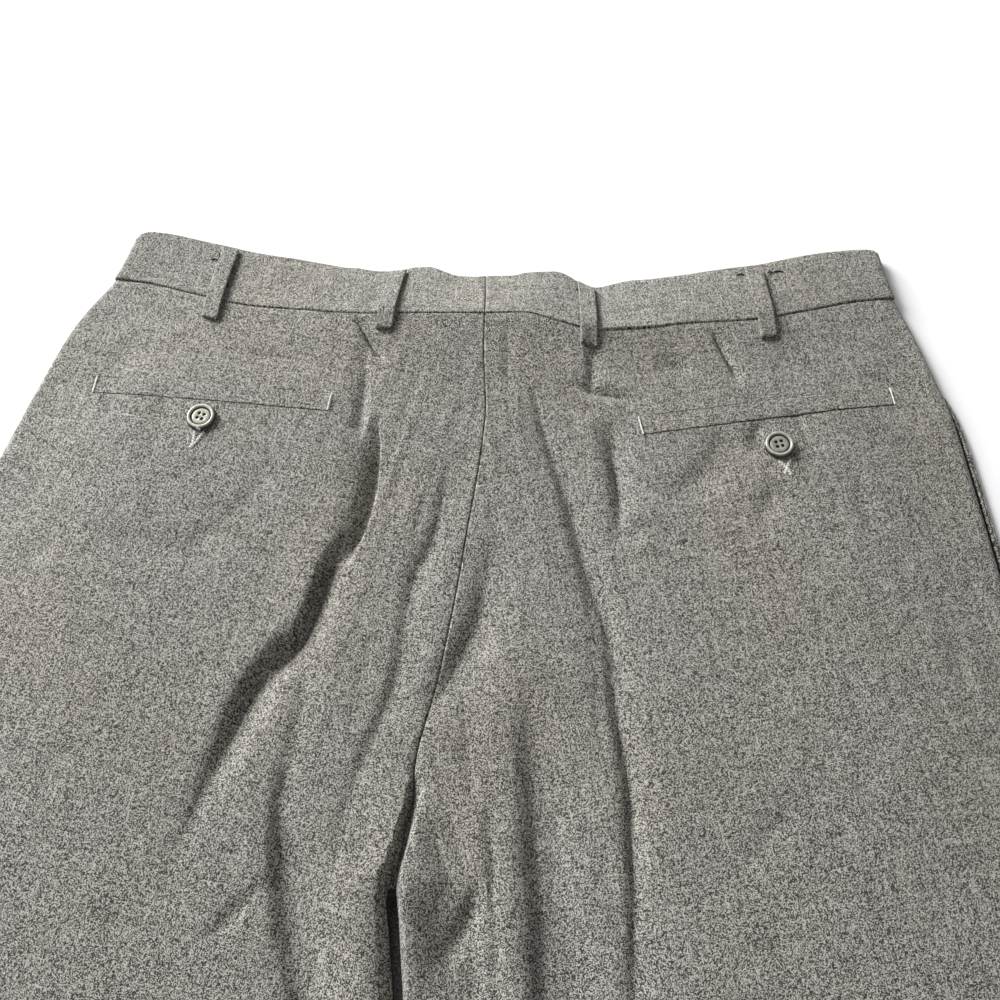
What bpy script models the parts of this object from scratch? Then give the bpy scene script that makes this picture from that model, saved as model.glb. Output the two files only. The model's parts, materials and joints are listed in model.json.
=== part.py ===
"""Pleated dress trousers, lying face down on a flat surface with the seat up.

Lengths in the tables are millimetres, and the mesh is in metres. +X is the wearer's right, +Y runs up the
body to the waistband and +Z is up. The origin is on the surface, under the middle of the garment.

The garment is two tubes of cloth that join above the crotch. Each back panel is a height over the surface,
and it arches over a front panel that lies flat. Rows run across the body and columns run down it, between
guide lines that follow the largest folds.
"""

import bisect
import math

import bmesh
import bpy

MM = 0.001

# Cloth and clearances
CLOTH = 1.2
BAND_CLOTH = 2.6
HEM_CLOTH = 2.4
FACING_CLOTH = 1.0
SEAM_GAP = 0.3
HALF_SEAM = SEAM_GAP / 2
RIM_CLEARANCE = 0.12
WELT_CLEARANCE = 0.55

# Lengths down the body
HEM_Y = -560.0
HEM_TURN_UP = 36.0
CROTCH_Y = 200.0
WAIST_SEAM_Y = 495.0
BAND_HEIGHT = 36.0
FRONT_SEAM_Y = 473.0
FRONT_LEVEL = 40.0

# Heights over the surface
EDGE_Z = 5.0
RIM_Z = CLOTH + SEAM_GAP + RIM_CLEARANCE
HEM_RIM_Z = HEM_CLOTH + SEAM_GAP + RIM_CLEARANCE
MOUTH_RIM_Z = CLOTH + FACING_CLOTH + 2 * SEAM_GAP + RIM_CLEARANCE
LOWEST_TOP_Z = 3.4
EDGE_ROUNDING = 4.0

# How the cloth fills out from its edges: the run to its full height, and how full it is at the edge itself
SIDE_RAMP = 95.0
SIDE_FULLNESS = 0.15
INSEAM_RAMP = 47.5
INSEAM_FULLNESS = 0.3
HEM_BLEND = 30.0
BAND_STEP = 0.6
BAND_END_Z = 7.2
BAND_END_ROUNDING = 3.6

# Trimmings
LOOP_WIDTH = 10.0
LOOP_CLOTH = 1.3
LOOP_RISE = 2.2
LOOP_TURN = 7.0
LOOP_CLEARANCE = 0.25
LOOP_TOP_INSET = 2.6
LOOP_MARGIN = 1.5
LOOP_RAMP = 13.0
WELT_WIDTH = 11.5
WELT_CLOTH = 1.1
WELT_EDGE_DROP = 0.35
WELT_STEPS = 12
BUTTON_RADIUS = 7.5
BUTTON_HEIGHT = 2.8
BUTTON_HOLE_RADIUS = 0.95
BUTTON_HOLE_SPREAD = 1.75
BUTTON_SEGMENTS = 28
FACING_WIDTH = 26.0
FACING_STEPS = 7
FACING_END = 4.0
FLY_LENGTH = 150.0
FLY_LAP = 5.0
FLY_UNDERLAP = 30.0
FLY_STEP = (FLY_LAP + 1.5, FLY_LAP + 18.0)
ZIP_WIDTH = 24.0
ZIP_CLOTH = 1.0

LEFT = -1
RIGHT = 1
SIDE_NAMES = {LEFT: "left", RIGHT: "right"}

# The waistline. u runs from the left side (-1) over the seat seam (0) to the right side (1). rise is how far
# the waist seam lies above its centre, seam_z is its height, and top_y and top_z place the band's top edge.
WAISTLINE = (
    # u, rise, seam_z, top_y, top_z
    (-1.00, 31.5, 5.6, 556.5, 6.8),
    (-0.90, 27.5, 7.0, 559.0, 6.6),
    (-0.78, 19.5, 8.4, 555.5, 6.2),
    (-0.62, 9.5, 10.6, 547.0, 5.8),
    (-0.46, 4.5, 13.2, 539.0, 5.1),
    (-0.30, 0.8, 15.4, 533.0, 4.7),
    (-0.15, 0.3, 16.6, 532.0, 4.7),
    (0.00, 0.0, 17.0, 529.0, 4.7),
    (0.09, 0.4, 17.0, 530.5, 4.7),
    (0.17, -4.5, 16.6, 531.0, 4.7),
    (0.26, -10.0, 15.9, 522.5, 4.7),
    (0.36, -8.8, 15.0, 525.5, 4.8),
    (0.47, -5.0, 13.8, 529.5, 5.1),
    (0.64, -0.8, 11.6, 536.5, 5.7),
    (0.78, 7.0, 9.4, 543.0, 6.2),
    (0.90, 14.5, 7.2, 547.5, 6.6),
    (1.00, 18.0, 5.6, 545.5, 6.8),
)

# How much of the waistline's curve is left at a row, and the height of the cloth there.
BODY_ROWS = (
    # y, curve, plateau, hump, open_crotch, inner_dive
    (495.0, 1.00, 11.0, 1.00, 0.0, 0.06),
    (475.0, 0.74, 11.0, 0.66, 0.0, 0.06),
    (450.0, 0.52, 11.2, 0.30, 0.0, 0.06),
    (420.0, 0.36, 11.4, 0.10, 0.0, 0.06),
    (380.0, 0.25, 11.4, 0.00, 0.0, 0.07),
    (330.0, 0.15, 11.0, 0.00, 0.0, 0.09),
    (290.0, 0.08, 10.4, 0.00, 0.0, 0.14),
    (262.0, 0.05, 10.0, 0.00, 0.1, 0.28),
    (235.0, 0.02, 9.6, 0.00, 0.4, 0.60),
    (212.0, 0.00, 9.2, 0.00, 0.8, 0.92),
    (200.0, 0.00, 9.0, 0.00, 1.0, 1.00),
    (150.0, 0.00, 8.4, 0.00, 1.0, 1.00),
    (-100.0, 0.00, 7.0, 0.00, 1.0, 1.00),
    (-480.0, 0.00, 6.2, 0.00, 1.0, 1.00),
    (-560.0, 0.00, 6.0, 0.00, 1.0, 1.00),
)

# Where the lines down the left half lie, from the side seam to the seat seam and the inseam.
LEFT_LINES = (
    # y, side, crease_fold, leg_line, seat_fold, inner
    (560.0, -203.0, -66.0, -45.0, -20.0, 3.6),
    (527.0, -212.0, -66.0, -45.0, -20.0, 3.4),
    (507.0, -223.7, -66.0, -45.0, -20.0, 3.3),
    (492.5, -230.8, -65.0, -45.0, -19.0, 3.0),
    (473.0, -237.4, -60.0, -44.0, -17.0, 2.6),
    (453.5, -243.1, -58.0, -43.0, -14.0, 3.4),
    (435.0, -247.8, -55.0, -41.0, -12.0, 3.8),
    (410.0, -254.5, -55.0, -40.0, -12.5, 1.5),
    (380.0, -261.0, -58.5, -44.0, -19.0, -3.0),
    (347.0, -267.0, -72.0, -55.0, -28.6, -8.0),
    (318.0, -270.5, -83.0, -68.0, -34.0, -12.5),
    (293.0, -272.5, -101.0, -83.0, -40.0, -17.5),
    (265.0, -273.8, -114.0, -87.0, -47.7, -24.5),
    (240.0, -274.4, -124.0, -88.5, -56.0, -32.3),
    (218.0, -274.6, -132.0, -88.5, -62.0, -38.8),
    (200.0, -274.4, -137.0, -84.5, -62.5, -39.6),
    (175.0, -273.8, -141.0, -79.0, -60.5, -36.5),
    (150.0, -273.0, -144.0, -75.0, -58.0, -33.8),
    (120.0, -272.3, -145.5, -78.0, -58.3, -33.0),
    (60.0, -270.5, -148.0, -88.0, -59.0, -32.0),
    (-130.0, -268.5, -151.0, -92.0, -60.0, -33.5),
    (-560.0, -250.0, -141.0, -86.0, -57.0, -31.5),
)
LEFT_LINE_NAMES = ("side", "crease_fold", "leg_line", "seat_fold", "inner")

# The same for the right half, from the seat seam and the inseam to the side seam.
RIGHT_LINES = (
    # y, inner, inseam_line, thigh_fold, long_fold, pocket_fold, crease, side
    (560.0, 3.6, 9.0, 15.0, 30.0, 66.0, 122.0, 232.0),
    (514.0, 3.4, 9.0, 15.0, 30.0, 66.0, 122.0, 238.2),
    (497.0, 3.2, 9.0, 14.5, 30.0, 66.0, 122.0, 242.8),
    (478.0, 2.7, 8.5, 14.5, 30.0, 66.0, 122.0, 247.9),
    (457.0, 3.2, 9.5, 17.0, 31.0, 66.0, 122.0, 252.6),
    (438.0, 4.0, 11.5, 20.5, 33.5, 67.0, 122.0, 256.3),
    (420.0, 2.6, 11.5, 21.5, 38.5, 70.0, 122.0, 258.2),
    (400.0, 0.2, 10.5, 22.5, 45.0, 73.5, 122.0, 259.6),
    (368.0, -4.8, 7.0, 24.0, 50.7, 75.5, 122.0, 261.8),
    (330.0, -10.4, 1.5, 24.5, 57.4, 80.0, 121.0, 264.2),
    (296.0, -16.8, -5.0, 24.3, 62.8, 84.0, 120.0, 266.2),
    (264.5, -24.6, -6.0, 25.2, 67.4, 87.0, 119.0, 267.6),
    (240.0, -32.3, 1.0, 27.0, 69.0, 88.5, 118.5, 268.5),
    (218.0, -38.8, 6.5, 28.6, 70.0, 90.0, 118.0, 269.0),
    (200.0, -39.6, 7.5, 29.4, 70.4, 91.0, 118.0, 269.0),
    (175.0, -36.5, 10.0, 30.0, 70.8, 92.0, 118.0, 268.4),
    (150.0, -33.8, 10.4, 30.0, 71.5, 93.0, 118.0, 267.4),
    (120.0, -33.0, 11.0, 31.0, 72.0, 93.5, 118.3, 266.0),
    (60.0, -23.0, 15.0, 38.0, 75.0, 96.0, 119.0, 261.5),
    (-130.0, -8.5, 27.0, 50.0, 84.0, 102.0, 121.5, 251.5),
    (-560.0, 18.5, 44.0, 66.0, 96.0, 112.0, 129.0, 238.0),
)
RIGHT_LINE_NAMES = ("inner", "inseam_line", "thigh_fold", "long_fold", "pocket_fold", "crease", "side")

# Folds that run along a line. depth is down, width_out is the half width towards the side seam, width_in the
# half width towards the seat seam, and lip is the ridge on the outer side.
LINE_FOLDS = (
    # side, line, y_start, y_peak, y_end, depth, width_out, width_in, lip
    (LEFT, "crease_fold", 486.0, 340.0, 168.0, 6.6, 7.5, 15.0, 1.4),
    (LEFT, "leg_line", 318.0, 172.0, 40.0, 3.0, 5.5, 7.0, 0.5),
    (LEFT, "seat_fold", 425.0, 300.0, 196.0, 2.6, 6.0, 6.0, 0.0),
    (LEFT, "crease_fold", 120.0, -150.0, -820.0, -1.6, 5.0, 5.0, 0.0),
    (RIGHT, "thigh_fold", 312.0, 200.0, 20.0, 5.0, 6.5, 5.5, 0.8),
    (RIGHT, "thigh_fold", 484.0, 455.0, 420.0, 2.2, 4.5, 4.5, 0.0),
    (RIGHT, "inseam_line", 275.0, 185.0, 60.0, 2.0, 4.0, 4.0, 0.0),
    (RIGHT, "long_fold", 456.0, 360.0, 90.0, 3.0, 5.5, 5.5, 0.6),
    (RIGHT, "pocket_fold", 440.0, 398.0, 352.0, 3.0, 5.5, 5.5, 0.0),
    (RIGHT, "crease", 150.0, -150.0, -820.0, -1.6, 5.0, 5.0, 0.0),
)

# Short folds that cross the rows, from one end to the other.
SHORT_FOLDS = (
    # x_start, y_start, x_end, y_end, depth, half_width
    (7.0, 376.0, 5.5, 334.0, 2.2, 6.0),
    (5.5, 338.0, -19.0, 282.0, 3.0, 6.0),
    (-24.0, 300.0, -60.0, 202.0, -1.6, 6.0),
    (-20.0, 252.0, -38.0, 214.0, 2.4, 11.0),
    (-24.0, 200.0, -25.0, 172.0, 2.6, 7.0),
    (2.0, 193.0, -9.0, 166.0, 2.4, 6.0),
    (-93.0, 199.0, -124.0, 171.0, 1.8, 5.0),
    (58.0, 444.0, 98.0, 436.0, 1.9, 5.5),
    (109.0, 461.0, 116.0, 456.0, 1.5, 12.0),
    (128.0, 476.0, 143.0, 449.0, 1.4, 6.0),
    (-182.0, 498.0, -210.0, 466.0, 1.6, 10.0),
    (-130.0, 469.0, -82.0, 468.0, 1.3, 8.0),
    (-180.0, 352.0, -110.0, 405.0, 1.5, 16.0),
    (82.0, 366.0, 128.0, 343.0, 1.3, 7.0),
    (98.0, 385.0, 127.0, 408.0, 1.2, 10.0),
    (182.0, 396.0, 213.0, 350.0, 1.0, 9.0),
)

# How far the front panel reaches past the back panel at the right side seam, where the pocket mouth gapes.
RIGHT_OVERHANG = (
    # y, overhang
    (560.0, -1.0),
    (456.0, -1.0),
    (444.0, 2.2),
    (428.0, 4.0),
    (410.0, 5.0),
    (360.0, 5.3),
    (300.0, 5.0),
    (255.0, 3.0),
    (215.0, -1.0),
    (-560.0, -1.0),
)
POCKET_MOUTH_TOP_Y = 444.0
POCKET_MOUTH_LENGTH = 170.0
MOUTH_BLEND = 13.0
HEM_STEP = 3.0

# Rows of the back panels, at the seat seam.
BACK_ROWS = (
    WAIST_SEAM_Y - HALF_SEAM, 483.0, 468.0, 453.0, 438.0, 421.0, 403.0, 384.0, 365.0, 346.0, 327.0, 309.0,
    292.0, 276.0, 260.0, 244.0, 228.0, 213.0, 200.0, 185.0, 168.0, 148.0, 112.0, 55.0, -25.0, -125.0, -240.0,
    -370.0, HEM_Y + HEM_TURN_UP + HEM_STEP, HEM_Y + HEM_TURN_UP, HEM_Y,
)

# Rows of the front panels at the centre front, with the depth of the pleats and the overlap of the fly.
FRONT_ROWS = (
    # y, curve, pleat, fly_lap, fly_lift, loop_lift
    (FRONT_SEAM_Y - HALF_SEAM, 1.00, 1.00, 1.0, 1.0, 1.0),
    (461.0, 0.90, 0.92, 1.0, 1.0, 1.0),
    (437.0, 0.70, 0.72, 1.0, 1.0, 0.0),
    (411.0, 0.52, 0.45, 1.0, 1.0, 0.0),
    (386.0, 0.36, 0.00, 1.0, 1.0, 0.0),
    (FRONT_SEAM_Y - FLY_LENGTH, 0.12, 0.0, 1.0, 1.0, 0.0),
    (FRONT_SEAM_Y - FLY_LENGTH - 24.0, 0.08, 0.0, 0.0, 1.0, 0.0),
    (FRONT_SEAM_Y - FLY_LENGTH - 48.0, 0.04, 0.0, 0.0, 0.0, 0.0),
    (236.0, 0.00, 0.0, 0.0, 0.0, 0.0),
    (CROTCH_Y, 0.00, 0.0, 0.0, 0.0, 0.0),
    (148.0, 0.00, 0.0, 0.0, 0.0, 0.0),
    (20.0, 0.00, 0.0, 0.0, 0.0, 0.0),
    (-170.0, 0.00, 0.0, 0.0, 0.0, 0.0),
    (-370.0, 0.00, 0.0, 0.0, 0.0, 0.0),
    (HEM_Y + HEM_TURN_UP + HEM_STEP, 0.00, 0.0, 0.0, 0.0, 0.0),
    (HEM_Y + HEM_TURN_UP, 0.00, 0.0, 0.0, 0.0, 0.0),
    (HEM_Y, 0.00, 0.0, 0.0, 0.0, 0.0),
)

# Pleats of one front panel: how far the folded edge lies from the centre front, and how deep the fold is.
PLEATS = (
    # distance, depth
    (72.0, 14.0),
    (109.0, 11.0),
)
PLEAT_START = 4.0
PLEAT_TIP = 0.6
PLEAT_RELEASE = 8.5
PLEAT_LAYER = CLOTH + SEAM_GAP
FRONT_LOOP_DISTANCE = 150.0
FRONT_LOOP_LIFT = LOOP_CLOTH + SEAM_GAP

# Back belt loops: where the middle of the loop crosses the waist seam, how far its top leans from there, and
# how far its foot reaches below the seam.
BACK_LOOPS = (
    # number, seam_x, top_lean, below_seam
    (1, -150.0, 4.5, 13.5),
    (2, -51.5, 4.0, 10.0),
    (3, 60.5, 0.5, 10.0),
    (4, 160.0, -1.5, 13.0),
)

# Back pockets: the ends of the welt's middle line, and the middle of the button.
BACK_POCKETS = (
    # side, outer_x, outer_y, inner_x, inner_y, button_x, button_y
    (LEFT, -209.0, 454.5, -80.5, 440.5, -147.6, 431.1),
    (RIGHT, 223.6, 446.5, 86.7, 426.0, 158.0, 414.2),
)

COLOURS = {
    # name: red, green, blue, roughness
    "cloth": (0.235, 0.225, 0.205, 0.92),
    "band": (0.270, 0.258, 0.235, 0.92),
    "trim": (0.225, 0.215, 0.195, 0.92),
    "facing": (0.120, 0.118, 0.112, 0.90),
    "zip": (0.060, 0.060, 0.065, 0.60),
    "button": (0.340, 0.330, 0.290, 0.35),
}


def smooth(value):
    """Eases from 0 to 1 as the value does."""
    value = min(max(value, 0.0), 1.0)
    return value * value * (3.0 - 2.0 * value)


def curve_through(table, column):
    """Returns a function that passes smoothly through one column of a table against its first column."""
    rows = sorted(table)
    keys = [row[0] for row in rows]
    values = [row[column] for row in rows]
    steps = [(values[i + 1] - values[i]) / (keys[i + 1] - keys[i]) for i in range(len(keys) - 1)]
    slopes = [steps[0]]
    for before, after in zip(steps, steps[1:]):
        slopes.append(0.0 if before * after <= 0.0 else 2.0 * before * after / (before + after))
    slopes.append(steps[-1])

    def value_at(key):
        if key <= keys[0]:
            return values[0]
        if key >= keys[-1]:
            return values[-1]
        i = bisect.bisect_right(keys, key) - 1
        span = keys[i + 1] - keys[i]
        t = (key - keys[i]) / span
        start = (1 + 2 * t) * (1 - t) ** 2 * values[i] + t * (1 - t) ** 2 * span * slopes[i]
        end = t * t * (3 - 2 * t) * values[i + 1] - t * t * (1 - t) * span * slopes[i + 1]
        return start + end

    return value_at


def curves_of(table, names):
    """Returns one function for each named column after the first."""
    return {name: curve_through(table, i + 1) for i, name in enumerate(names)}


WAIST = curves_of(WAISTLINE, ("rise", "seam_z", "top_y", "top_z"))
BODY = curves_of(BODY_ROWS, ("curve", "plateau", "hump", "open_crotch", "inner_dive"))
LINES = {
    LEFT: curves_of(LEFT_LINES, LEFT_LINE_NAMES),
    RIGHT: curves_of(RIGHT_LINES, RIGHT_LINE_NAMES),
}
OVERHANG = curve_through(RIGHT_OVERHANG, 1)


def seam_y(u):
    """Returns y of the waist seam on the back."""
    return WAIST_SEAM_Y + WAIST["rise"](u)


def seam_width(side):
    """Returns how far the side seam lies from the centre seams at the waist."""
    return abs(LINES[side]["side"](seam_y(side)) - LINES[side]["inner"](WAIST_SEAM_Y))


def across(x, y):
    """Returns u for a point, by its distance from the seat seam as a part of the waist seam's width."""
    side = LEFT if x < LINES[LEFT]["inner"](y) else RIGHT
    return (x - LINES[side]["inner"](y)) / seam_width(side)


def line_x(side, name, y):
    """Returns x of a line down the body, with half of the seam's gap taken off at the inner edge."""
    x = LINES[side][name](y)
    return x + side * HALF_SEAM if name == "inner" else x


def row_point(side, row_y, x_of):
    """Returns the point where a curved row crosses the line that x_of gives as a function of y."""
    y = row_y
    for _ in range(4):
        y = row_y + BODY["curve"](row_y) * WAIST["rise"](across(x_of(y), y))
    return x_of(y), y


def fold_profile(offset, width_out, width_in, lip):
    """Returns the trough and the ridge of a fold of depth 1, at an offset that is positive outwards."""
    width = width_out if offset > 0.0 else width_in
    trough = math.exp(-((offset / width) ** 2))
    ridge = math.exp(-(((offset - 1.9 * width_out) / width_out) ** 2))
    return trough, ridge * lip


def line_fold_depth(x, y):
    """Returns how far the folds along the lines lower the cloth at a point."""
    depth = 0.0
    for side, line, y_start, y_peak, y_end, fold_depth, width_out, width_in, lip in LINE_FOLDS:
        if not y_end < y < y_start:
            continue
        y_far = y_start if y > y_peak else y_end
        strength = smooth((y_far - y) / (y_far - y_peak))
        offset = side * (x - LINES[side][line](y))
        trough, ridge = fold_profile(offset, width_out, width_in, lip)
        depth += strength * (fold_depth * trough - ridge)
    return depth


def short_fold_depth(x, y):
    """Returns how far the short folds lower the cloth at a point."""
    depth = 0.0
    for x_start, y_start, x_end, y_end, fold_depth, half_width in SHORT_FOLDS:
        run_x = x_end - x_start
        run_y = y_end - y_start
        length = math.hypot(run_x, run_y)
        along = ((x - x_start) * run_x + (y - y_start) * run_y) / length
        aside = ((x - x_start) * run_y - (y - y_start) * run_x) / length
        past_end = max(-along, along - length, 0.0)
        depth += fold_depth * math.exp(-(aside * aside + past_end * past_end) / half_width**2)
    return depth


def inner_rim_height(y):
    """Returns how high the back panel's inseam edge ends, over the front panel under it."""
    hem = 1.0 - smooth((y - HEM_Y - HEM_TURN_UP) / HEM_STEP)
    return RIM_Z + (HEM_RIM_Z - RIM_Z) * hem


def side_rim_height(y):
    """Returns how high the back panel's side edge ends, over the front panel and the pocket facing."""
    mouth_end = POCKET_MOUTH_TOP_Y - POCKET_MOUTH_LENGTH
    mouth = smooth((POCKET_MOUTH_TOP_Y - y) / MOUTH_BLEND + 1.0) * smooth((y - mouth_end) / MOUTH_BLEND + 1.0)
    return inner_rim_height(y) + (MOUTH_RIM_Z - RIM_Z) * mouth


def inner_rounding(y):
    """Returns the radius over which a back panel rounds down to its seat seam or inseam."""
    return EDGE_ROUNDING * (0.2 + 1.2 * BODY["inner_dive"](y))


def rounded_off(top, rim, distance, radius):
    """Returns the height at a distance from an edge that rounds down from top to rim within a radius."""
    if distance >= radius:
        return top
    return rim + (top - rim) * math.sqrt(max(1.0 - (1.0 - distance / radius) ** 2, 0.0))


def back_height(side, x, y):
    """Returns the height of a back panel's outer face."""
    from_side = side * (LINES[side]["side"](y) - x)
    from_inner = max(side * (x - LINES[side]["inner"](y)) - HALF_SEAM, 0.0)
    u = across(x, y)
    open_crotch = BODY["open_crotch"](y)
    fullness = smooth(from_side / SIDE_RAMP + SIDE_FULLNESS)
    fullness *= 1.0 - open_crotch * (1.0 - smooth(from_inner / INSEAM_RAMP + INSEAM_FULLNESS))
    top = EDGE_Z + (BODY["plateau"](y) - EDGE_Z) * fullness
    waist_top = EDGE_Z + (BODY["plateau"](WAIST_SEAM_Y) - EDGE_Z) * fullness
    top += BODY["hump"](y) * (WAIST["seam_z"](u) - waist_top)
    top -= line_fold_depth(x, y) + short_fold_depth(x, y)
    hem = 1.0 - smooth((y - HEM_Y - HEM_TURN_UP - HEM_STEP) / HEM_BLEND)
    lowest = LOWEST_TOP_Z + (HEM_RIM_Z + HEM_CLOTH - LOWEST_TOP_Z) * hem
    top = lowest + math.log1p(math.exp(2.0 * (top - lowest))) / 2.0
    inner_rim = top + (inner_rim_height(y) - top) * BODY["inner_dive"](y)
    top = rounded_off(top, inner_rim, from_inner, inner_rounding(y))
    return rounded_off(top, side_rim_height(y), max(from_side, 0.0), EDGE_ROUNDING)


def back_normal(side, x, y):
    """Returns the unit normal of a back panel's outer face."""
    step = 0.04
    toward = step if side * (LINES[side]["side"](y) - x) > 1.0 else -side * step
    if side * (x - LINES[side]["inner"](y)) < 1.0:
        toward = side * step
    slope_x = (back_height(side, x + toward, y) - back_height(side, x, y)) / toward
    slope_y = (back_height(side, x, y + step) - back_height(side, x, y - step)) / (2.0 * step)
    length = math.sqrt(slope_x**2 + slope_y**2 + 1.0)
    return -slope_x / length, -slope_y / length, 1.0 / length


def moved(point, normal, distance):
    """Returns the point moved along the normal."""
    return tuple(p + n * distance for p, n in zip(point, normal))


def material(name):
    """Returns the named Principled material, made once."""
    found = bpy.data.materials.get(name)
    if found:
        return found
    red, green, blue, roughness = COLOURS[name]
    made = bpy.data.materials.new(name)
    made.use_nodes = True
    shader = made.node_tree.nodes["Principled BSDF"]
    shader.inputs["Base Color"].default_value = (red, green, blue, 1.0)
    shader.inputs["Roughness"].default_value = roughness
    shader.inputs["Metallic"].default_value = 0.0
    return made


def object_from(name, finish, build):
    """Makes an object whose mesh the build function fills, with its faces outward."""
    mesh = bpy.data.meshes.new(name)
    shape = bmesh.new()
    build(shape)
    bmesh.ops.recalc_face_normals(shape, faces=shape.faces)
    shape.to_mesh(mesh)
    shape.free()
    mesh.materials.append(material(finish))
    mesh.shade_smooth()
    mesh.set_sharp_from_angle(angle=math.radians(40.0))
    made = bpy.data.objects.new(name, mesh)
    bpy.context.scene.collection.objects.link(made)
    return made


def shell(name, finish, outer, inner):
    """Makes the closed solid between two grids of points in millimetres, given as rows of equal length."""

    def build(shape):
        grids = []
        for grid in (outer, inner):
            grids.append([[shape.verts.new([part * MM for part in point]) for point in row] for row in grid])
        rows = len(outer)
        columns = len(outer[0])
        for row in range(rows - 1):
            for column in range(columns - 1):
                for grid in grids:
                    above = grid[row][column : column + 2]
                    below = grid[row + 1][column : column + 2]
                    shape.faces.new((above[0], below[0], below[1], above[1]))
        border = [(0, column) for column in range(columns)]
        border += [(row, columns - 1) for row in range(1, rows)]
        border += [(rows - 1, column) for column in range(columns - 2, -1, -1)]
        border += [(row, 0) for row in range(rows - 2, 0, -1)]
        for (row, column), (next_row, next_column) in zip(border, border[1:] + border[:1]):
            shape.faces.new(
                (
                    grids[0][row][column],
                    grids[0][next_row][next_column],
                    grids[1][next_row][next_column],
                    grids[1][row][column],
                )
            )

    return object_from(name, finish, build)


def cloth_thickness(y):
    """Returns the panels' thickness at a row: double in the turned-up hem."""
    return HEM_CLOTH if y <= HEM_Y + HEM_TURN_UP + 0.5 else CLOTH


def edge_steps():
    """Returns the distances from an edge at which its rounding is drawn, as parts of its radius."""
    return [1.0 - math.cos(math.radians(angle)) for angle in (0.0, 35.0, 65.0)] + [1.0]


def back_columns(side):
    """Returns a function of y for the x of each column of a back panel, from the side seam inwards."""
    columns = [
        lambda y, part=part: LINES[side]["side"](y) - side * EDGE_ROUNDING * part for part in edge_steps()
    ]
    if side == LEFT:
        spans = (
            ("side", "crease_fold", (0.14, 0.30, 0.46, 0.62, 0.77, 0.89, 1.0)),
            ("crease_fold", "leg_line", (0.35, 0.7, 1.0)),
            ("leg_line", "seat_fold", (0.35, 0.7, 1.0)),
            ("seat_fold", "inner", (0.3, 0.6)),
        )
    else:
        spans = (
            ("side", "crease", (0.16, 0.36, 0.56, 0.76, 0.92, 1.0)),
            ("crease", "pocket_fold", (0.4, 0.75, 1.0)),
            ("pocket_fold", "long_fold", (0.5, 1.0)),
            ("long_fold", "thigh_fold", (0.35, 0.7, 1.0)),
            ("thigh_fold", "inseam_line", (0.5, 1.0)),
            ("inseam_line", "inner", (0.45,)),
        )
    for start, end, parts in spans:
        for part in parts:
            columns.append(
                lambda y, start=start, end=end, part=part: (
                    LINES[side][start](y) * (1.0 - part) + LINES[side][end](y) * part
                )
            )
    for part in reversed(edge_steps()):
        columns.append(
            lambda y, part=part: (
                line_x(side, "inner", y) + side * inner_rounding(y) * part
            )
        )
    return columns


def build_back(side):
    """Makes one back panel."""
    outer = []
    inner = []
    columns = back_columns(side)
    for row, row_y in enumerate(BACK_ROWS):
        outer_row = []
        inner_row = []
        for x_of in columns:
            x, y = row_point(side, row_y, x_of)
            point = (x, y, back_height(side, x, y))
            normal = back_normal(side, x, y)
            if row == 0:
                normal = (0.0, 0.0, 1.0)
            elif row_y == HEM_Y:
                normal = (normal[0], 0.0, normal[2])
            seat = BODY["inner_dive"](y)
            if abs(x - line_x(side, "inner", y)) < 1.0 and seat < 0.5:
                normal = (0.0, 0.0, 1.0)
            outer_row.append(point)
            inner_row.append(moved(point, normal, -cloth_thickness(y)))
        outer.append(outer_row)
        inner.append(inner_row)
    return shell("back_" + SIDE_NAMES[side], "cloth", outer, inner)


def front_side_x(side, y):
    """Returns x of the front panel's side edge."""
    return LINES[side]["side"](y) + side * (OVERHANG(y) if side == RIGHT else -1.0)


def front_rise(side, distance):
    """Returns how far the front waist seam lies above its centre, at a distance from the centre front."""
    at_side = WAIST["top_y"](side) - BAND_HEIGHT - FRONT_SEAM_Y
    return at_side * max(distance - FRONT_LEVEL, 0.0) / (seam_width(side) - FRONT_LEVEL)


def pleat_path(distance, depth, strength):
    """Returns the middle line of a folded pleat as distances from the centre front and heights."""
    turn = PLEAT_LAYER / 2.0
    low = CLOTH / 2.0
    back = distance - depth * strength
    path = [(back - PLEAT_START, low), (distance - turn, low)]
    for angle in (-math.pi / 4.0, math.pi / 4.0):
        path.append((distance - turn + turn * math.cos(angle), low + turn * (1.0 + math.sin(angle))))
    path.append((distance - turn, low + PLEAT_LAYER))
    path.append((back + turn, low + PLEAT_LAYER))
    for angle in (math.pi * 1.25, math.pi * 0.75):
        path.append((back + turn + turn * math.cos(angle), low + turn * (3.0 + math.sin(angle))))
    path.append((back + turn, low + 2.0 * PLEAT_LAYER))
    path.append((distance + PLEAT_TIP, low + 2.0 * PLEAT_LAYER))
    path.append((distance + PLEAT_RELEASE, low))
    return path


def open_pleat_path(distance, count):
    """Returns the same number of points where the pleat has opened out flat."""
    start = distance - PLEAT_START
    end = distance + PLEAT_RELEASE
    return [(start + (end - start) * i / (count - 1), CLOTH / 2.0) for i in range(count)]


def front_loop_places():
    """Returns the distances at which a front panel and band step up over a belt loop and down again."""
    half = LOOP_WIDTH / 2.0 + LOOP_MARGIN
    return [FRONT_LOOP_DISTANCE + aside for aside in (-half - LOOP_RAMP, -half, half, half + LOOP_RAMP)]


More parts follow.
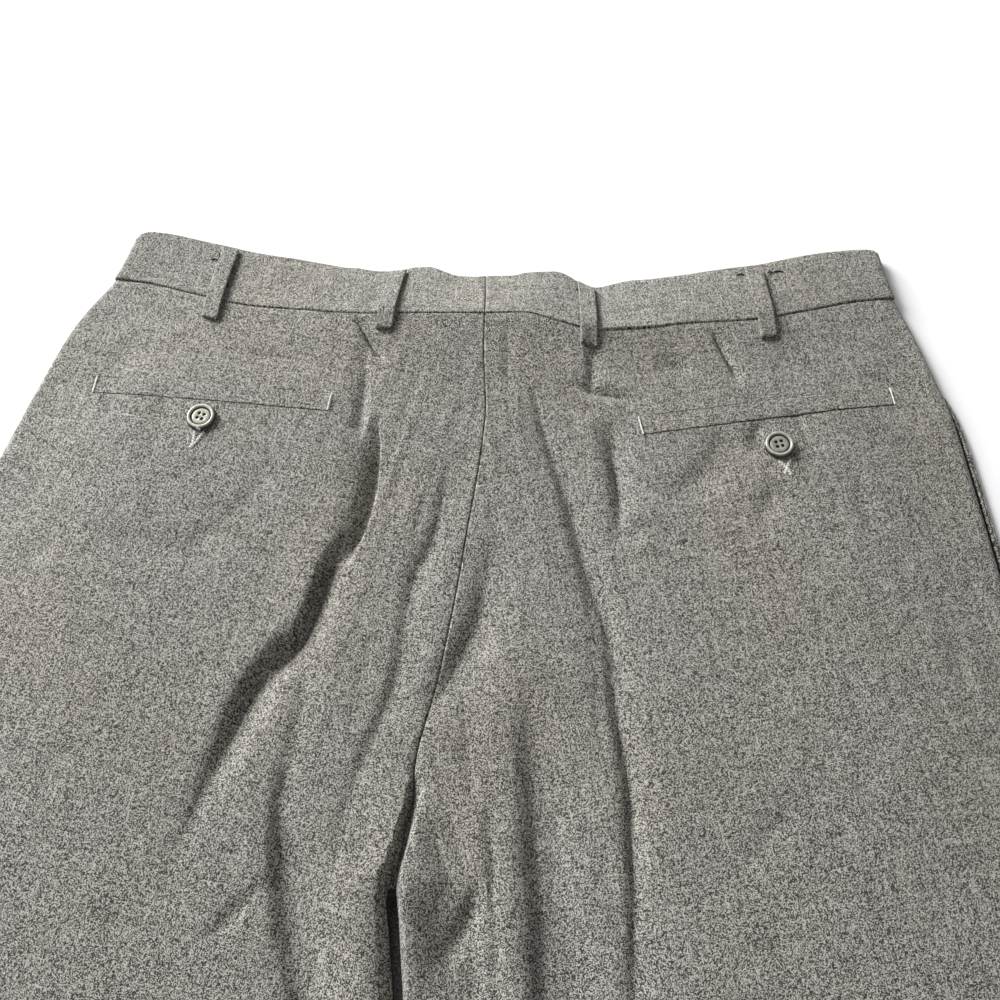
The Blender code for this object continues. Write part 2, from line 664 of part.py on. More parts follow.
def front_path(side, row):
    """Returns a row of the front panel from the centre front outwards, as distances and heights."""
    y, _, pleat, fly_lap, fly_lift, loop_lift = row
    low = CLOTH / 2.0
    lift = (ZIP_CLOTH + 2.0 * SEAM_GAP + CLOTH) * fly_lift
    if side == LEFT:
        path = [(HALF_SEAM - (FLY_LAP + HALF_SEAM) * fly_lap, low), (14.0, low), (FRONT_LEVEL, low)]
    else:
        start = HALF_SEAM - (FLY_UNDERLAP + HALF_SEAM) * fly_lap
        path = [(start, low + lift), (FLY_STEP[0], low + lift), (FLY_STEP[1], low), (FRONT_LEVEL, low)]
    for distance, depth in PLEATS:
        folded = pleat_path(distance, depth, pleat)
        path += folded if pleat > 0.0 else open_pleat_path(distance, len(folded))
    raised = low + FRONT_LOOP_LIFT * loop_lift
    return path + list(zip(front_loop_places(), (low, raised, raised, low)))


def path_normals(path):
    """Returns the unit normal at each point of a path, on its left."""
    normals = []
    for i in range(len(path)):
        before = path[max(i - 1, 0)]
        after = path[min(i + 1, len(path) - 1)]
        first = (path[i][0] - before[0], path[i][1] - before[1])
        second = (after[0] - path[i][0], after[1] - path[i][1])
        total = [0.0, 0.0]
        for run in (first, second):
            length = math.hypot(*run)
            if length > 0.0:
                total[0] -= run[1] / length
                total[1] += run[0] / length
        length = math.hypot(*total)
        miter = 1.0 / max(length / 2.0, 0.75) if 0 < i < len(path) - 1 else 1.0
        normals.append((total[0] / length * miter, total[1] / length * miter))
    return normals


def build_front(side):
    """Makes one front panel, flat on the surface, with its pleats and its half of the fly."""
    lower = []
    upper = []
    for row in FRONT_ROWS:
        row_y, curve = row[:2]
        thickness = cloth_thickness(row_y)
        path = front_path(side, row)
        centre = LINES[side]["inner"](row_y)
        width = side * (front_side_x(side, row_y) - centre)
        scale = min(1.0, (width - 40.0) / path[-1][0])
        lower_row = []
        upper_row = []
        for (distance, height), (aside, up) in zip(path, path_normals(path)):
            place = distance * scale if distance > 0.0 else distance
            y = row_y + curve * front_rise(side, place)
            x = LINES[side]["inner"](y) + side * place
            below = (x - side * aside * CLOTH / 2.0, y, height - up * CLOTH / 2.0)
            above = (x + side * aside * CLOTH / 2.0, y, height + up * CLOTH / 2.0 + thickness - CLOTH)
            lower_row.append(below)
            upper_row.append(above)
        edge = ((14.0, 0.0, thickness), (0.5, 0.0, thickness), (0.0, 0.4, thickness - 0.4))
        for inset, z_low, z_high in edge:
            y = row_y + curve * front_rise(side, seam_width(side) - inset)
            x = front_side_x(side, y) - side * inset
            lower_row.append((x, y, z_low))
            upper_row.append((x, y, z_high))
        lower.append(lower_row)
        upper.append(upper_row)
    return shell("front_" + SIDE_NAMES[side], "cloth", upper, lower)


def band_taper(side, part):
    """Returns the band's width at a part of its height, as a part of the waist seam's."""
    y = seam_y(side) + (WAIST["top_y"](side) - seam_y(side)) * min(max(part, -0.5), 1.0)
    return abs(LINES[side]["side"](y) - LINES[side]["inner"](y)) / seam_width(side)


def band_back_point(u, part):
    """Returns a point on the band's outer face over the back."""
    low_y = seam_y(u) + HALF_SEAM
    y = low_y + (WAIST["top_y"](u) - low_y) * part
    side = LEFT if u < 0.0 else RIGHT
    x = LINES[side]["inner"](y) + u * seam_width(side) * band_taper(side, part)
    low_z = WAIST["seam_z"](u) + BAND_STEP
    blend = smooth((abs(u) - 0.9) / 0.1)
    low_z += (BAND_END_Z - low_z) * blend
    high_z = WAIST["top_z"](u) + (BAND_END_Z - WAIST["top_z"](u)) * blend
    z = low_z + (high_z - low_z) * part + 1.0 * part * (1.0 - part)
    return x, y, z


BAND_PARTS = (0.0, 0.33, 0.67, 0.93, 1.0)
BAND_ROUNDING_DROP = (0.0, 0.0, 0.0, 0.0, 0.9)


def band_column(side, u, part, drop):
    """Returns the outer and inner points of the band over the back."""
    x, y, z = band_back_point(side * u, part)
    rise = band_back_point(side * u, min(part + 0.05, 1.0))
    fall = band_back_point(side * u, max(part - 0.05, 0.0))
    tilt = (rise[2] - fall[2]) / (rise[1] - fall[1])
    tilt *= smooth(part / 0.3)
    length = math.hypot(tilt, 1.0)
    normal = (0.0, -tilt / length, 1.0 / length)
    outer = moved((x, y, z), normal, -drop)
    return outer, moved((x, y, z), normal, drop - BAND_CLOTH)


def band_turn(side, angle, part, drop):
    """Returns the outer and inner points where the band turns round the side."""
    y = seam_y(side) + HALF_SEAM + (WAIST["top_y"](side) - seam_y(side) - HALF_SEAM) * part
    end = seam_width(side) - BAND_END_ROUNDING
    middle_x = LINES[side]["inner"](y) + side * end * band_taper(side, part)
    half = BAND_END_Z / 2.0
    points = []
    for inset in (drop, BAND_CLOTH - drop):
        x = middle_x + side * (BAND_END_ROUNDING - inset) * math.cos(angle)
        points.append((x, y, half + (half - inset) * math.sin(angle)))
    return points


def band_front_column(side, distance, part, drop, lift):
    """Returns the outer and inner points of the band under the front."""
    low_y = FRONT_SEAM_Y + front_rise(side, distance) + HALF_SEAM
    y = low_y + (BAND_HEIGHT - SEAM_GAP) * part
    x = LINES[side]["inner"](y) + side * distance * band_taper(side, part)
    return (x, y, lift + drop), (x, y, lift + BAND_CLOTH - drop)


def build_band(side):
    """Makes half of the waistband, from the centre back round the side to the centre front."""
    width = seam_width(side)
    end_part = 1.0 - BAND_END_ROUNDING / width
    back_parts = []
    for x_of in reversed(back_columns(side)):
        x, y = row_point(side, WAIST_SEAM_Y, x_of)
        u = abs(across(x, y))
        if u < end_part - 0.01 and (not back_parts or u > back_parts[-1] + 0.005):
            back_parts.append(u)
    back_parts.append(end_part)
    front_places = front_loop_places()[::-1] + [85.0, FRONT_LEVEL]
    front_lifts = [0.0, FRONT_LOOP_LIFT, FRONT_LOOP_LIFT, 0.0, 0.0, 0.0]
    if side == LEFT:
        front_places += [14.0, -FLY_LAP]
        front_lifts += [0.0, 0.0]
    else:
        lapped = BAND_CLOTH + SEAM_GAP
        front_places += [FLY_STEP[1], FLY_STEP[0], -12.0, -FLY_UNDERLAP]
        front_lifts += [0.0, lapped, lapped, lapped]
    outer = []
    inner = []
    for part, drop in zip(BAND_PARTS, BAND_ROUNDING_DROP):
        pairs = [band_column(side, u, part, drop) for u in back_parts]
        pairs += [band_turn(side, math.radians(angle), part, drop) for angle in (55.0, 20.0, -20.0, -55.0)]
        pairs.append(band_front_column(side, width - BAND_END_ROUNDING, part, drop, 0.0))
        for place, lift in zip(front_places, front_lifts):
            pairs.append(band_front_column(side, place, part, drop, lift))
        outer.append([pair[0] for pair in pairs])
        inner.append([pair[1] for pair in pairs])
    return shell("waistband_" + SIDE_NAMES[side], "band", outer, inner)


def band_place(x, y):
    """Returns u and the part of the band's height at a point on the back."""
    side = LEFT if x < LINES[LEFT]["inner"](y) else RIGHT
    u = across(x, WAIST_SEAM_Y)
    part = 0.0
    for _ in range(6):
        low_y = seam_y(u) + HALF_SEAM
        part = (y - low_y) / (WAIST["top_y"](u) - low_y)
        u = (x - LINES[side]["inner"](y)) / seam_width(side) / band_taper(side, part)
    return u, part


def loop_surface(x, y):
    """Returns the point and normal of the outer cloth under a belt loop."""
    side = LEFT if x < LINES[LEFT]["inner"](y) else RIGHT
    u, part = band_place(x, y)
    if part < 0.0:
        return (x, y, back_height(side, x, y)), back_normal(side, x, y)
    step = 0.03
    high = band_back_point(u, part + step)
    low = band_back_point(u, part - step)
    tilt = (high[2] - low[2]) / (high[1] - low[1])
    length = math.hypot(tilt, 1.0)
    return (x, y, band_back_point(u, part)[2]), (0.0, -tilt / length, 1.0 / length)


def loop_path(seam_x, top_lean, below_seam, aside):
    """Returns one edge of the loop's middle layer, from its turned-under top end to its turned-under foot."""
    u = across(seam_x + aside, WAIST_SEAM_Y)
    middle_y = seam_y(u)
    top_y = WAIST["top_y"](u) - LOOP_TOP_INSET
    foot_y = middle_y - below_seam
    lean = top_lean / (top_y - middle_y)

    def at(y, rise):
        x = seam_x + aside + lean * (y - middle_y)
        point, normal = loop_surface(x, y)
        return moved(point, normal, rise)

    low = SEAM_GAP + LOOP_CLOTH / 2.0 + LOOP_CLEARANCE
    high = low + LOOP_RISE
    bulge = LOOP_RISE / 2.0
    path = [at(top_y - LOOP_TURN, low + 0.2), at(top_y - bulge, low)]
    path.append(at(top_y, (low + high) / 2.0))
    path.append(at(top_y - bulge, high))
    path += [at(y, high + 0.5) for y in (top_y - 12.0, middle_y + 10.0)]
    path += [at(y, high + 1.2) for y in (middle_y + 3.0, middle_y - 3.0)]
    path.append(at(foot_y + bulge + 1.5, high))
    path.append(at(foot_y, (low + high) / 2.0))
    path.append(at(foot_y + bulge, low + 0.1))
    path.append(at(foot_y + LOOP_TURN, low + LOOP_CLEARANCE))
    return path


def build_back_loop(number, seam_x, top_lean, below_seam):
    """Makes one belt loop on the back, with both ends turned under."""
    outer = []
    inner = []
    for aside in (-LOOP_WIDTH / 2.0, 0.0, LOOP_WIDTH / 2.0):
        path = loop_path(seam_x, top_lean, below_seam, aside)
        outer_edge = []
        inner_edge = []
        for (x, y, z), (up_y, up_z) in zip(path, path_normals([(y, z) for x, y, z in path])):
            for edge, way in ((outer_edge, LOOP_CLOTH / 2.0), (inner_edge, -LOOP_CLOTH / 2.0)):
                edge.append((x, y + way * up_y, z + way * up_z))
        outer.append(outer_edge)
        inner.append(inner_edge)
    return shell(f"belt_loop_{number}", "trim", outer, inner)


def build_front_loop(number, side):
    """Makes one belt loop under the front, pressed flat against the surface."""
    outer = []
    inner = []
    for part in (0.9, 0.3, -0.3):
        ends = []
        for aside in (-LOOP_WIDTH / 2.0, LOOP_WIDTH / 2.0):
            ends.append(band_front_column(side, FRONT_LOOP_DISTANCE + aside, part, 0.0, 0.0)[0])
        outer.append([moved(end, (0.0, 0.0, 1.0), LOOP_CLOTH) for end in ends])
        inner.append(ends)
    return shell(f"belt_loop_{number}", "trim", outer, inner)


def build_welt(side, outer_x, outer_y, inner_x, inner_y):
    """Makes the welt of one back pocket, its points moved out from the panel's."""
    length = math.hypot(inner_x - outer_x, inner_y - outer_y)
    run = ((inner_x - outer_x) / length, (inner_y - outer_y) / length)
    up = (-run[1], run[0]) if run[0] > 0.0 else (run[1], -run[0])
    outer = []
    inner = []
    for across_part in (0.5, 0.42, 0.0, -0.42, -0.5):
        outer_row = []
        inner_row = []
        for i in range(WELT_STEPS + 1):
            x = outer_x + run[0] * length * i / WELT_STEPS + up[0] * WELT_WIDTH * across_part
            y = outer_y + run[1] * length * i / WELT_STEPS + up[1] * WELT_WIDTH * across_part
            point = (x, y, back_height(side, x, y))
            normal = back_normal(side, x, y)
            edge_drop = WELT_EDGE_DROP if abs(across_part) == 0.5 else 0.0
            outer_row.append(moved(point, normal, WELT_CLEARANCE + WELT_CLOTH - edge_drop))
            inner_row.append(moved(point, normal, WELT_CLEARANCE))
        outer.append(outer_row)
        inner.append(inner_row)
    return shell("welt_" + SIDE_NAMES[side], "trim", outer, inner)


def button_profile():
    """Returns the turned half section of a button as radius and height, from its back to its dish."""
    edge = BUTTON_RADIUS
    high = BUTTON_HEIGHT
    return (
        (edge * 0.72, 0.0),
        (edge * 0.96, high * 0.30),
        (edge, high * 0.58),
        (edge * 0.93, high * 0.92),
        (edge * 0.82, high),
        (edge * 0.70, high * 0.90),
        (edge * 0.62, high * 0.62),
        (edge * 0.54, high * 0.66),
    )


def build_button(side, x, y):
    """Makes one button with four holes, standing just clear of the cloth under it."""
    name = "button_" + SIDE_NAMES[side]

    def build(shape):
        rings = []
        for radius, height in button_profile():
            ring = []
            for i in range(BUTTON_SEGMENTS):
                angle = 2.0 * math.pi * i / BUTTON_SEGMENTS
                place = (radius * math.cos(angle), radius * math.sin(angle), height)
                ring.append(shape.verts.new([part * MM for part in place]))
            rings.append(ring)
        for low, high in zip(rings, rings[1:]):
            for i in range(BUTTON_SEGMENTS):
                after = (i + 1) % BUTTON_SEGMENTS
                shape.faces.new((low[i], low[after], high[after], high[i]))
        shape.faces.new(list(reversed(rings[0])))
        shape.faces.new(rings[-1])

    button = object_from(name, "button", build)
    normal = back_normal(side, x, y)
    turn_x = math.atan2(-normal[1], normal[2])
    turn_y = math.atan2(normal[0], normal[2])
    lift = 0.0
    for ring_part in (0.45, 1.0):
        for i in range(16):
            angle = math.pi * i / 8.0
            test_x = x + BUTTON_RADIUS * ring_part * math.cos(angle)
            test_y = y + BUTTON_RADIUS * ring_part * math.sin(angle)
            plane = -(normal[0] * (test_x - x) + normal[1] * (test_y - y)) / normal[2]
            under = 0.0 if ring_part < 1.0 else BUTTON_HEIGHT * 0.3
            lift = max(lift, back_height(side, test_x, test_y) - back_height(side, x, y) - plane - under)
    z = back_height(side, x, y) + lift + SEAM_GAP
    for i in range(4):
        angle = math.pi / 4.0 + math.pi / 2.0 * i
        cutter_mesh = bpy.data.meshes.new(f"{name}_hole_{i}")
        hole = bmesh.new()
        bmesh.ops.create_cone(
            hole,
            cap_ends=True,
            segments=10,
            radius1=BUTTON_HOLE_RADIUS * MM,
            radius2=BUTTON_HOLE_RADIUS * MM,
            depth=4.0 * BUTTON_HEIGHT * MM,
        )
        hole.to_mesh(cutter_mesh)
        hole.free()
        cutter = bpy.data.objects.new(f"{name}_hole_{i}", cutter_mesh)
        bpy.context.scene.collection.objects.link(cutter)
        cutter.parent = button
        spread = BUTTON_HOLE_SPREAD * MM
        cutter.location = (spread * math.cos(angle), spread * math.sin(angle), 0.0)
        cutter.hide_render = True
        cutter.display_type = "WIRE"
        cut = button.modifiers.new(f"hole_{i}", "BOOLEAN")
        cut.operation = "DIFFERENCE"
        cut.solver = "EXACT"
        cut.object = cutter
    button.location = (x * MM, y * MM, z * MM)
    button.rotation_euler = (turn_x, turn_y, 0.0)
    return button


def build_pocket_facing(side):
    """Makes the facing inside one side pocket, whose edge shows where the mouth gapes."""
    outer = []
    inner = []
    low = CLOTH + SEAM_GAP
    for i in range(FACING_STEPS + 1):
        y = POCKET_MOUTH_TOP_Y - FACING_END - (POCKET_MOUTH_LENGTH - 2.0 * FACING_END) * i / FACING_STEPS
        edge = front_side_x(side, y) - side * 1.6
        places = (edge - side * FACING_WIDTH, edge - side * 0.4, edge)
        outer.append([(place, y, low + FACING_CLOTH - (0.3 if place == edge else 0.0)) for place in places])
        inner.append([(place, y, low) for place in places])
    return shell("pocket_facing_" + SIDE_NAMES[side], "facing", outer, inner)


def build_zip():
    """Makes the closed zip as one flat strip between the two sides of the fly."""
    outer = []
    inner = []
    low = CLOTH + SEAM_GAP
    for y in (FRONT_SEAM_Y - 6.0, FRONT_SEAM_Y - FLY_LENGTH / 2.0, FRONT_SEAM_Y - FLY_LENGTH + 6.0):
        centre = LINES[LEFT]["inner"](y) - ZIP_WIDTH / 2.0 + FLY_LAP
        places = (centre - ZIP_WIDTH / 2.0, centre - 3.0, centre + 3.0, centre + ZIP_WIDTH / 2.0)
        outer.append([(place, y, low + ZIP_CLOTH) for place in places])
        inner.append([(place, y, low) for place in places])
    return shell("zip", "zip", outer, inner)


def main():
    """Clears the scene and makes every piece."""
    for found in list(bpy.data.objects):
        bpy.data.objects.remove(found, do_unlink=True)
    for side in (LEFT, RIGHT):
        build_back(side)
        build_front(side)
        build_band(side)
        build_pocket_facing(side)
    for number, seam_x, top_lean, below_seam in BACK_LOOPS:
        build_back_loop(number, seam_x, top_lean, below_seam)
    for number, side in ((5, LEFT), (6, RIGHT)):
        build_front_loop(number, side)
    for side, outer_x, outer_y, inner_x, inner_y, button_x, button_y in BACK_POCKETS:
        build_welt(side, outer_x, outer_y, inner_x, inner_y)
        build_button(side, button_x, button_y)
    build_zip()


if __name__ == "__main__":
    main()
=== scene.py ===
"""Pleated dress trousers, laid face down on a pale surface with the seat up.

The tables give sizes in millimetres, and every mesh is made in metres. +X is the wearer's right, +Y runs up the
body to the waistband and +Z is up from the surface.
"""

from __future__ import annotations

import json
import logging
import math
from dataclasses import dataclass, field
from enum import Enum, IntEnum

import bmesh
import bpy
import numpy as np
from mathutils import Matrix, Vector

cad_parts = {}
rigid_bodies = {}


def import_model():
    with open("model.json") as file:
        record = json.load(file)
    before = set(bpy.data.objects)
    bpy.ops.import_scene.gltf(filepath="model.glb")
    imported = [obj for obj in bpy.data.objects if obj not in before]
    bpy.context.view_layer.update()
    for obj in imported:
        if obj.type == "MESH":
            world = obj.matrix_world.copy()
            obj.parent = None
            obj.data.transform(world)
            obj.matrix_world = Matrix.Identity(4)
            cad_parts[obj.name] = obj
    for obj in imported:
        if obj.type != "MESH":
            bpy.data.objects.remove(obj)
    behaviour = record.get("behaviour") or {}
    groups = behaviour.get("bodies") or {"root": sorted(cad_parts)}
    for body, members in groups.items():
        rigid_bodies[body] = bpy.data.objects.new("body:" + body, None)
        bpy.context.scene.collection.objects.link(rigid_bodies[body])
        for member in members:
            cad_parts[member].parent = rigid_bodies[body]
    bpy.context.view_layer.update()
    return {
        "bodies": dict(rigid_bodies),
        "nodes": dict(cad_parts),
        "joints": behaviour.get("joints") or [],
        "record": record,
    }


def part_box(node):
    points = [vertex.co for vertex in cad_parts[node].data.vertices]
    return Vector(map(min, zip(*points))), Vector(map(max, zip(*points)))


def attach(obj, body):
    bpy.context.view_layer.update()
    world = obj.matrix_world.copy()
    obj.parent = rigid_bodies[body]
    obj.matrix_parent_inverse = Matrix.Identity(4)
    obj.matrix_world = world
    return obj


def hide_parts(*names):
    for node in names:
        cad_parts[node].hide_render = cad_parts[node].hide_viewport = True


LOG = logging.getLogger("trousers")
MM = 0.001
Grid = np.ndarray
Point = tuple[float, float, float]
Piece = bpy.types.Object
Socket = bpy.types.NodeSocket
Inputs = dict[str | int, object]

# Cloth as it shows: a little finer than the solids that it stands for
PANEL_CLOTH = 0.9
HEM_CLOTH = 2.2
BAND_CLOTH = 2.6
HALF_SEAM = 0.04
SEAM_DIP = 1.15
SEAM_ROUNDING = 1.0

# Lengths down the body
HEM_Y = -560.0
HEM_TURN_UP = 36.0
WAIST_SEAM_Y = 495.0
BAND_HEIGHT = 36.0
BAND_SEAM_GAP = 0.3
FRONT_SEAM_Y = 473.0
FRONT_LEVEL = 40.0

# Heights over the surface
EDGE_Z = 5.0
RIM_Z = 1.62
HEM_RIM_Z = 2.82
MOUTH_RIM_Z = 2.92
LOWEST_TOP_Z = 3.4
EDGE_ROUNDING = 4.0
SIDE_RAMP = 95.0
SIDE_FULLNESS = 0.15
INSEAM_RAMP = 5.0
INSEAM_FULLNESS = 0.1
HEM_BLEND = 30.0
HEM_STEP = 3.0
MOUTH_TOP_Y = 444.0
MOUTH_LENGTH = 170.0
MOUTH_BLEND = 13.0
BAND_STEP = 0.6
BAND_END_Z = 7.2
BAND_END_ROUNDING = 3.6
FLY_LAP = 5.0
FLY_UNDERLAP = 30.0
FLY_STEP = (FLY_LAP + 1.5, FLY_LAP + 18.0)
FRONT_LOOP_DISTANCE = 150.0
FRONT_LOOP_LIFT = 1.6

# How far the middles of a button's holes lie from its middle
HOLE_REACH = 2.0

# How far apart the weave's threads lie, and the points that a crease is worked out at
THREAD_PITCH = 0.40
CREASE_STEP = 2.5

# Parts of a rounded seam edge at which points lie
SEAM_PARTS = (0.0, 0.06, 0.25, 0.55, 1.0)

# Spacing of the cloth's points, where it shows most and down the legs
FINE_STEP = 1.55
LEG_STEP = 15.0
FINE_UNTIL_Y = 150.0


class Side(IntEnum):
    """The wearer's left or right, which is also the sign of X there."""

    LEFT = -1
    RIGHT = 1

    @property
    def word(self) -> str:
        """The side's name as it stands in the names of pieces."""
        return "left" if self is Side.LEFT else "right"


class Follow(Enum):
    """What a pattern follows over a piece."""

    CLOTH = "the cloth's own threads"
    PLACE = "the piece's place"


# The waistline. u runs from the left side (-1) over the seat seam (0) to the right side (1).
WAISTLINE = (
    # u, rise, seam_z, top_y, top_z
    (-1.00, 31.5, 5.6, 556.5, 6.8),
    (-0.90, 27.5, 7.0, 559.0, 6.6),
    (-0.78, 19.5, 8.4, 555.5, 6.2),
    (-0.62, 9.5, 10.6, 547.0, 5.8),
    (-0.46, 4.5, 13.2, 539.0, 5.1),
    (-0.30, 0.8, 15.4, 533.0, 4.7),
    (-0.15, 0.3, 16.6, 532.0, 4.7),
    (0.00, 0.0, 17.0, 529.0, 4.7),
    (0.09, 0.4, 17.0, 530.5, 4.7),
    (0.17, -4.5, 16.6, 531.0, 4.7),
    (0.26, -10.0, 15.9, 522.5, 4.7),
    (0.36, -8.8, 15.0, 525.5, 4.8),
    (0.47, -5.0, 13.8, 529.5, 5.1),
    (0.64, -0.8, 11.6, 536.5, 5.7),
    (0.78, 7.0, 9.4, 543.0, 6.2),
    (0.90, 14.5, 7.2, 547.5, 6.6),
    (1.00, 18.0, 5.6, 545.5, 6.8),
)

# How the band's top edge waves, over the smooth line above.
TOP_WAVES = (
    # u, rise
    (-1.0, 0.0), (-0.965, 2.6), (-0.925, 1.2), (-0.885, -0.4), (-0.84, -1.7), (-0.80, -2.3), (-0.76, -2.8),
    (-0.68, -2.9), (-0.60, -2.0), (-0.52, -0.6), (-0.40, -0.2), (-0.355, 1.0), (-0.30, 0.5), (-0.25, 0.9),
    (-0.20, 3.8), (-0.155, 4.4), (-0.12, 2.0), (-0.08, -0.3), (-0.03, 0.2), (0.01, 1.0), (0.07, 0.2), (0.105, 1.9),
    (0.20, 2.4), (0.235, 1.2), (0.28, -0.9), (0.32, 0.2), (0.36, 1.1), (0.42, 0.2), (0.60, -0.3), (0.70, -1.5),
    (0.80, -0.8), (0.88, -1.2), (0.94, 0.2), (0.972, 0.9), (1.0, 0.0),
)

# How much of the waistline's curve is left at a row, and the height of the cloth there.
BODY_ROWS = (
    # y, curve, plateau, hump, open_crotch, inner_dive
    (495.0, 1.00, 11.0, 1.00, 0.0, 0.06),
    (475.0, 0.74, 11.0, 0.66, 0.0, 0.06),
    (450.0, 0.52, 11.2, 0.30, 0.0, 0.06),
    (420.0, 0.36, 11.4, 0.10, 0.0, 0.06),
    (380.0, 0.25, 11.4, 0.00, 0.0, 0.07),
    (330.0, 0.15, 11.0, 0.00, 0.0, 0.09),
    (290.0, 0.08, 10.4, 0.00, 0.0, 0.14),
    (262.0, 0.05, 10.0, 0.00, 0.1, 0.28),
    (235.0, 0.02, 9.6, 0.00, 0.4, 0.60),
    (212.0, 0.00, 9.2, 0.00, 0.8, 0.92),
    (200.0, 0.00, 9.0, 0.00, 1.0, 1.00),
    (150.0, 0.00, 8.4, 0.00, 1.0, 1.00),
    (-100.0, 0.00, 7.0, 0.00, 1.0, 1.00),
    (-480.0, 0.00, 6.2, 0.00, 1.0, 1.00),
    (-560.0, 0.00, 6.0, 0.00, 1.0, 1.00),
)

# Where the lines down the left half lie, from the side seam to the seat seam and the inseam.
LEFT_LINES = (
    # y, side, crease_fold, leg_line, seat_fold, inner
    (560.0, -203.0, -66.0, -45.0, -20.0, 3.6),
    (527.0, -212.0, -66.0, -45.0, -20.0, 3.4),
    (507.0, -223.7, -66.0, -45.0, -20.0, 3.3),
    (492.5, -230.8, -65.0, -45.0, -19.0, 3.0),
    (473.0, -237.4, -60.0, -44.0, -17.0, 2.6),
    (453.5, -243.1, -58.0, -43.0, -14.0, 3.4),
    (435.0, -247.8, -55.0, -41.0, -12.0, 3.8),
    (410.0, -254.5, -55.0, -40.0, -12.5, 1.5),
    (380.0, -261.0, -58.5, -44.0, -19.0, -3.0),
    (347.0, -267.0, -72.0, -55.0, -28.6, -8.0),
    (318.0, -270.5, -83.0, -68.0, -34.0, -12.5),
    (293.0, -272.5, -101.0, -83.0, -40.0, -17.5),
    (265.0, -273.8, -114.0, -87.0, -47.7, -24.5),
    (240.0, -274.4, -124.0, -88.5, -56.0, -32.3),
    (218.0, -274.6, -132.0, -88.5, -62.0, -38.8),
    (200.0, -274.4, -137.0, -84.5, -62.5, -39.6),
    (175.0, -273.8, -141.0, -79.0, -60.5, -36.5),
    (150.0, -273.0, -144.0, -75.0, -58.0, -33.8),
    (120.0, -272.3, -145.5, -78.0, -58.3, -33.0),
    (60.0, -270.5, -148.0, -88.0, -59.0, -32.0),
    (-130.0, -268.5, -151.0, -92.0, -60.0, -33.5),
    (-560.0, -250.0, -141.0, -86.0, -57.0, -31.5),
)

# The same for the right half, from the seat seam and the inseam to the side seam.
RIGHT_LINES = (
    # y, inner, inseam_line, thigh_fold, long_fold, pocket_fold, crease, side
    (560.0, 3.6, 9.0, 15.0, 30.0, 66.0, 122.0, 232.0),
    (514.0, 3.4, 9.0, 15.0, 30.0, 66.0, 122.0, 238.2),
    (497.0, 3.2, 9.0, 14.5, 30.0, 66.0, 122.0, 242.8),
    (478.0, 2.7, 8.5, 14.5, 30.0, 66.0, 122.0, 247.9),
    (457.0, 3.2, 9.5, 17.0, 31.0, 66.0, 122.0, 252.6),
    (438.0, 4.0, 11.5, 20.5, 33.5, 67.0, 122.0, 256.3),
    (420.0, 2.6, 11.5, 21.5, 38.5, 70.0, 122.0, 258.2),
    (400.0, 0.2, 10.5, 22.5, 45.0, 73.5, 122.0, 259.6),
    (368.0, -4.8, 7.0, 24.0, 50.7, 75.5, 122.0, 261.8),
    (330.0, -10.4, 1.5, 24.5, 57.4, 80.0, 121.0, 264.2),
    (296.0, -16.8, -5.0, 24.3, 62.8, 84.0, 120.0, 266.2),
    (264.5, -24.6, -6.0, 25.2, 67.4, 87.0, 119.0, 267.6),
    (240.0, -32.3, 1.0, 27.0, 69.0, 88.5, 118.5, 268.5),
    (218.0, -38.8, 6.5, 28.6, 70.0, 90.0, 118.0, 269.0),
    (200.0, -39.6, 7.5, 29.4, 70.4, 91.0, 118.0, 269.0),
    (175.0, -36.5, 10.0, 30.0, 70.8, 92.0, 118.0, 268.4),
    (150.0, -33.8, 10.4, 30.0, 71.5, 93.0, 118.0, 267.4),
    (120.0, -33.0, 11.0, 31.0, 72.0, 93.5, 118.3, 266.0),
    (60.0, -23.0, 15.0, 38.0, 75.0, 96.0, 119.0, 261.5),
    (-130.0, -8.5, 27.0, 50.0, 84.0, 102.0, 121.5, 251.5),
    (-560.0, 18.5, 44.0, 66.0, 96.0, 112.0, 129.0, 238.0),
)
LINE_NAMES = {
    Side.LEFT: ("side", "crease_fold", "leg_line", "seat_fold", "inner"),
    Side.RIGHT: ("inner", "inseam_line", "thigh_fold", "long_fold", "pocket_fold", "crease", "side"),
}

# How many points lie between the lines, from the side seam inwards.
COLUMN_SPANS = {
    Side.LEFT: (
        # start, end, steps
        ("side", "crease_fold", 94),
        ("crease_fold", "leg_line", 20),
        ("leg_line", "seat_fold", 20),
        ("seat_fold", "inner", 16),
    ),
    Side.RIGHT: (
        ("side", "crease", 73),
        ("crease", "pocket_fold", 20),
        ("pocket_fold", "long_fold", 15),
        ("long_fold", "thigh_fold", 22),
        ("thigh_fold", "inseam_line", 14),
        ("inseam_line", "inner", 18),
    ),
}

# How far the cloth's inner edges lie to the right of the solids', and the radius over which they round down.
INNER_EDGES = (
    # y, left_shift, right_shift, left_rounding, right_rounding
    (560.0, 0.0, 0.0, 1.0, 1.0),
    (262.0, 0.0, 0.0, 1.0, 1.0),
    (250.0, 1.5, 1.5, 1.2, 1.0),
    (240.0, 4.5, 4.5, 1.6, 1.2),
    (228.0, 7.0, 7.0, 2.0, 1.4),
    (215.0, 6.8, 6.8, 2.4, 1.6),
    (205.0, 4.6, 5.3, 1.4, 1.0),
    (198.0, 1.8, 4.9, 1.2, 1.0),
    (190.0, 0.2, 5.1, 1.2, 1.0),
    (168.0, 0.0, 4.4, 1.2, 1.0),
    (150.0, 0.0, 4.2, 1.4, 1.2),
    (60.0, 0.0, 0.0, 8.0, 4.0),
    (-560.0, 0.0, 0.0, 6.0, 5.0),
)

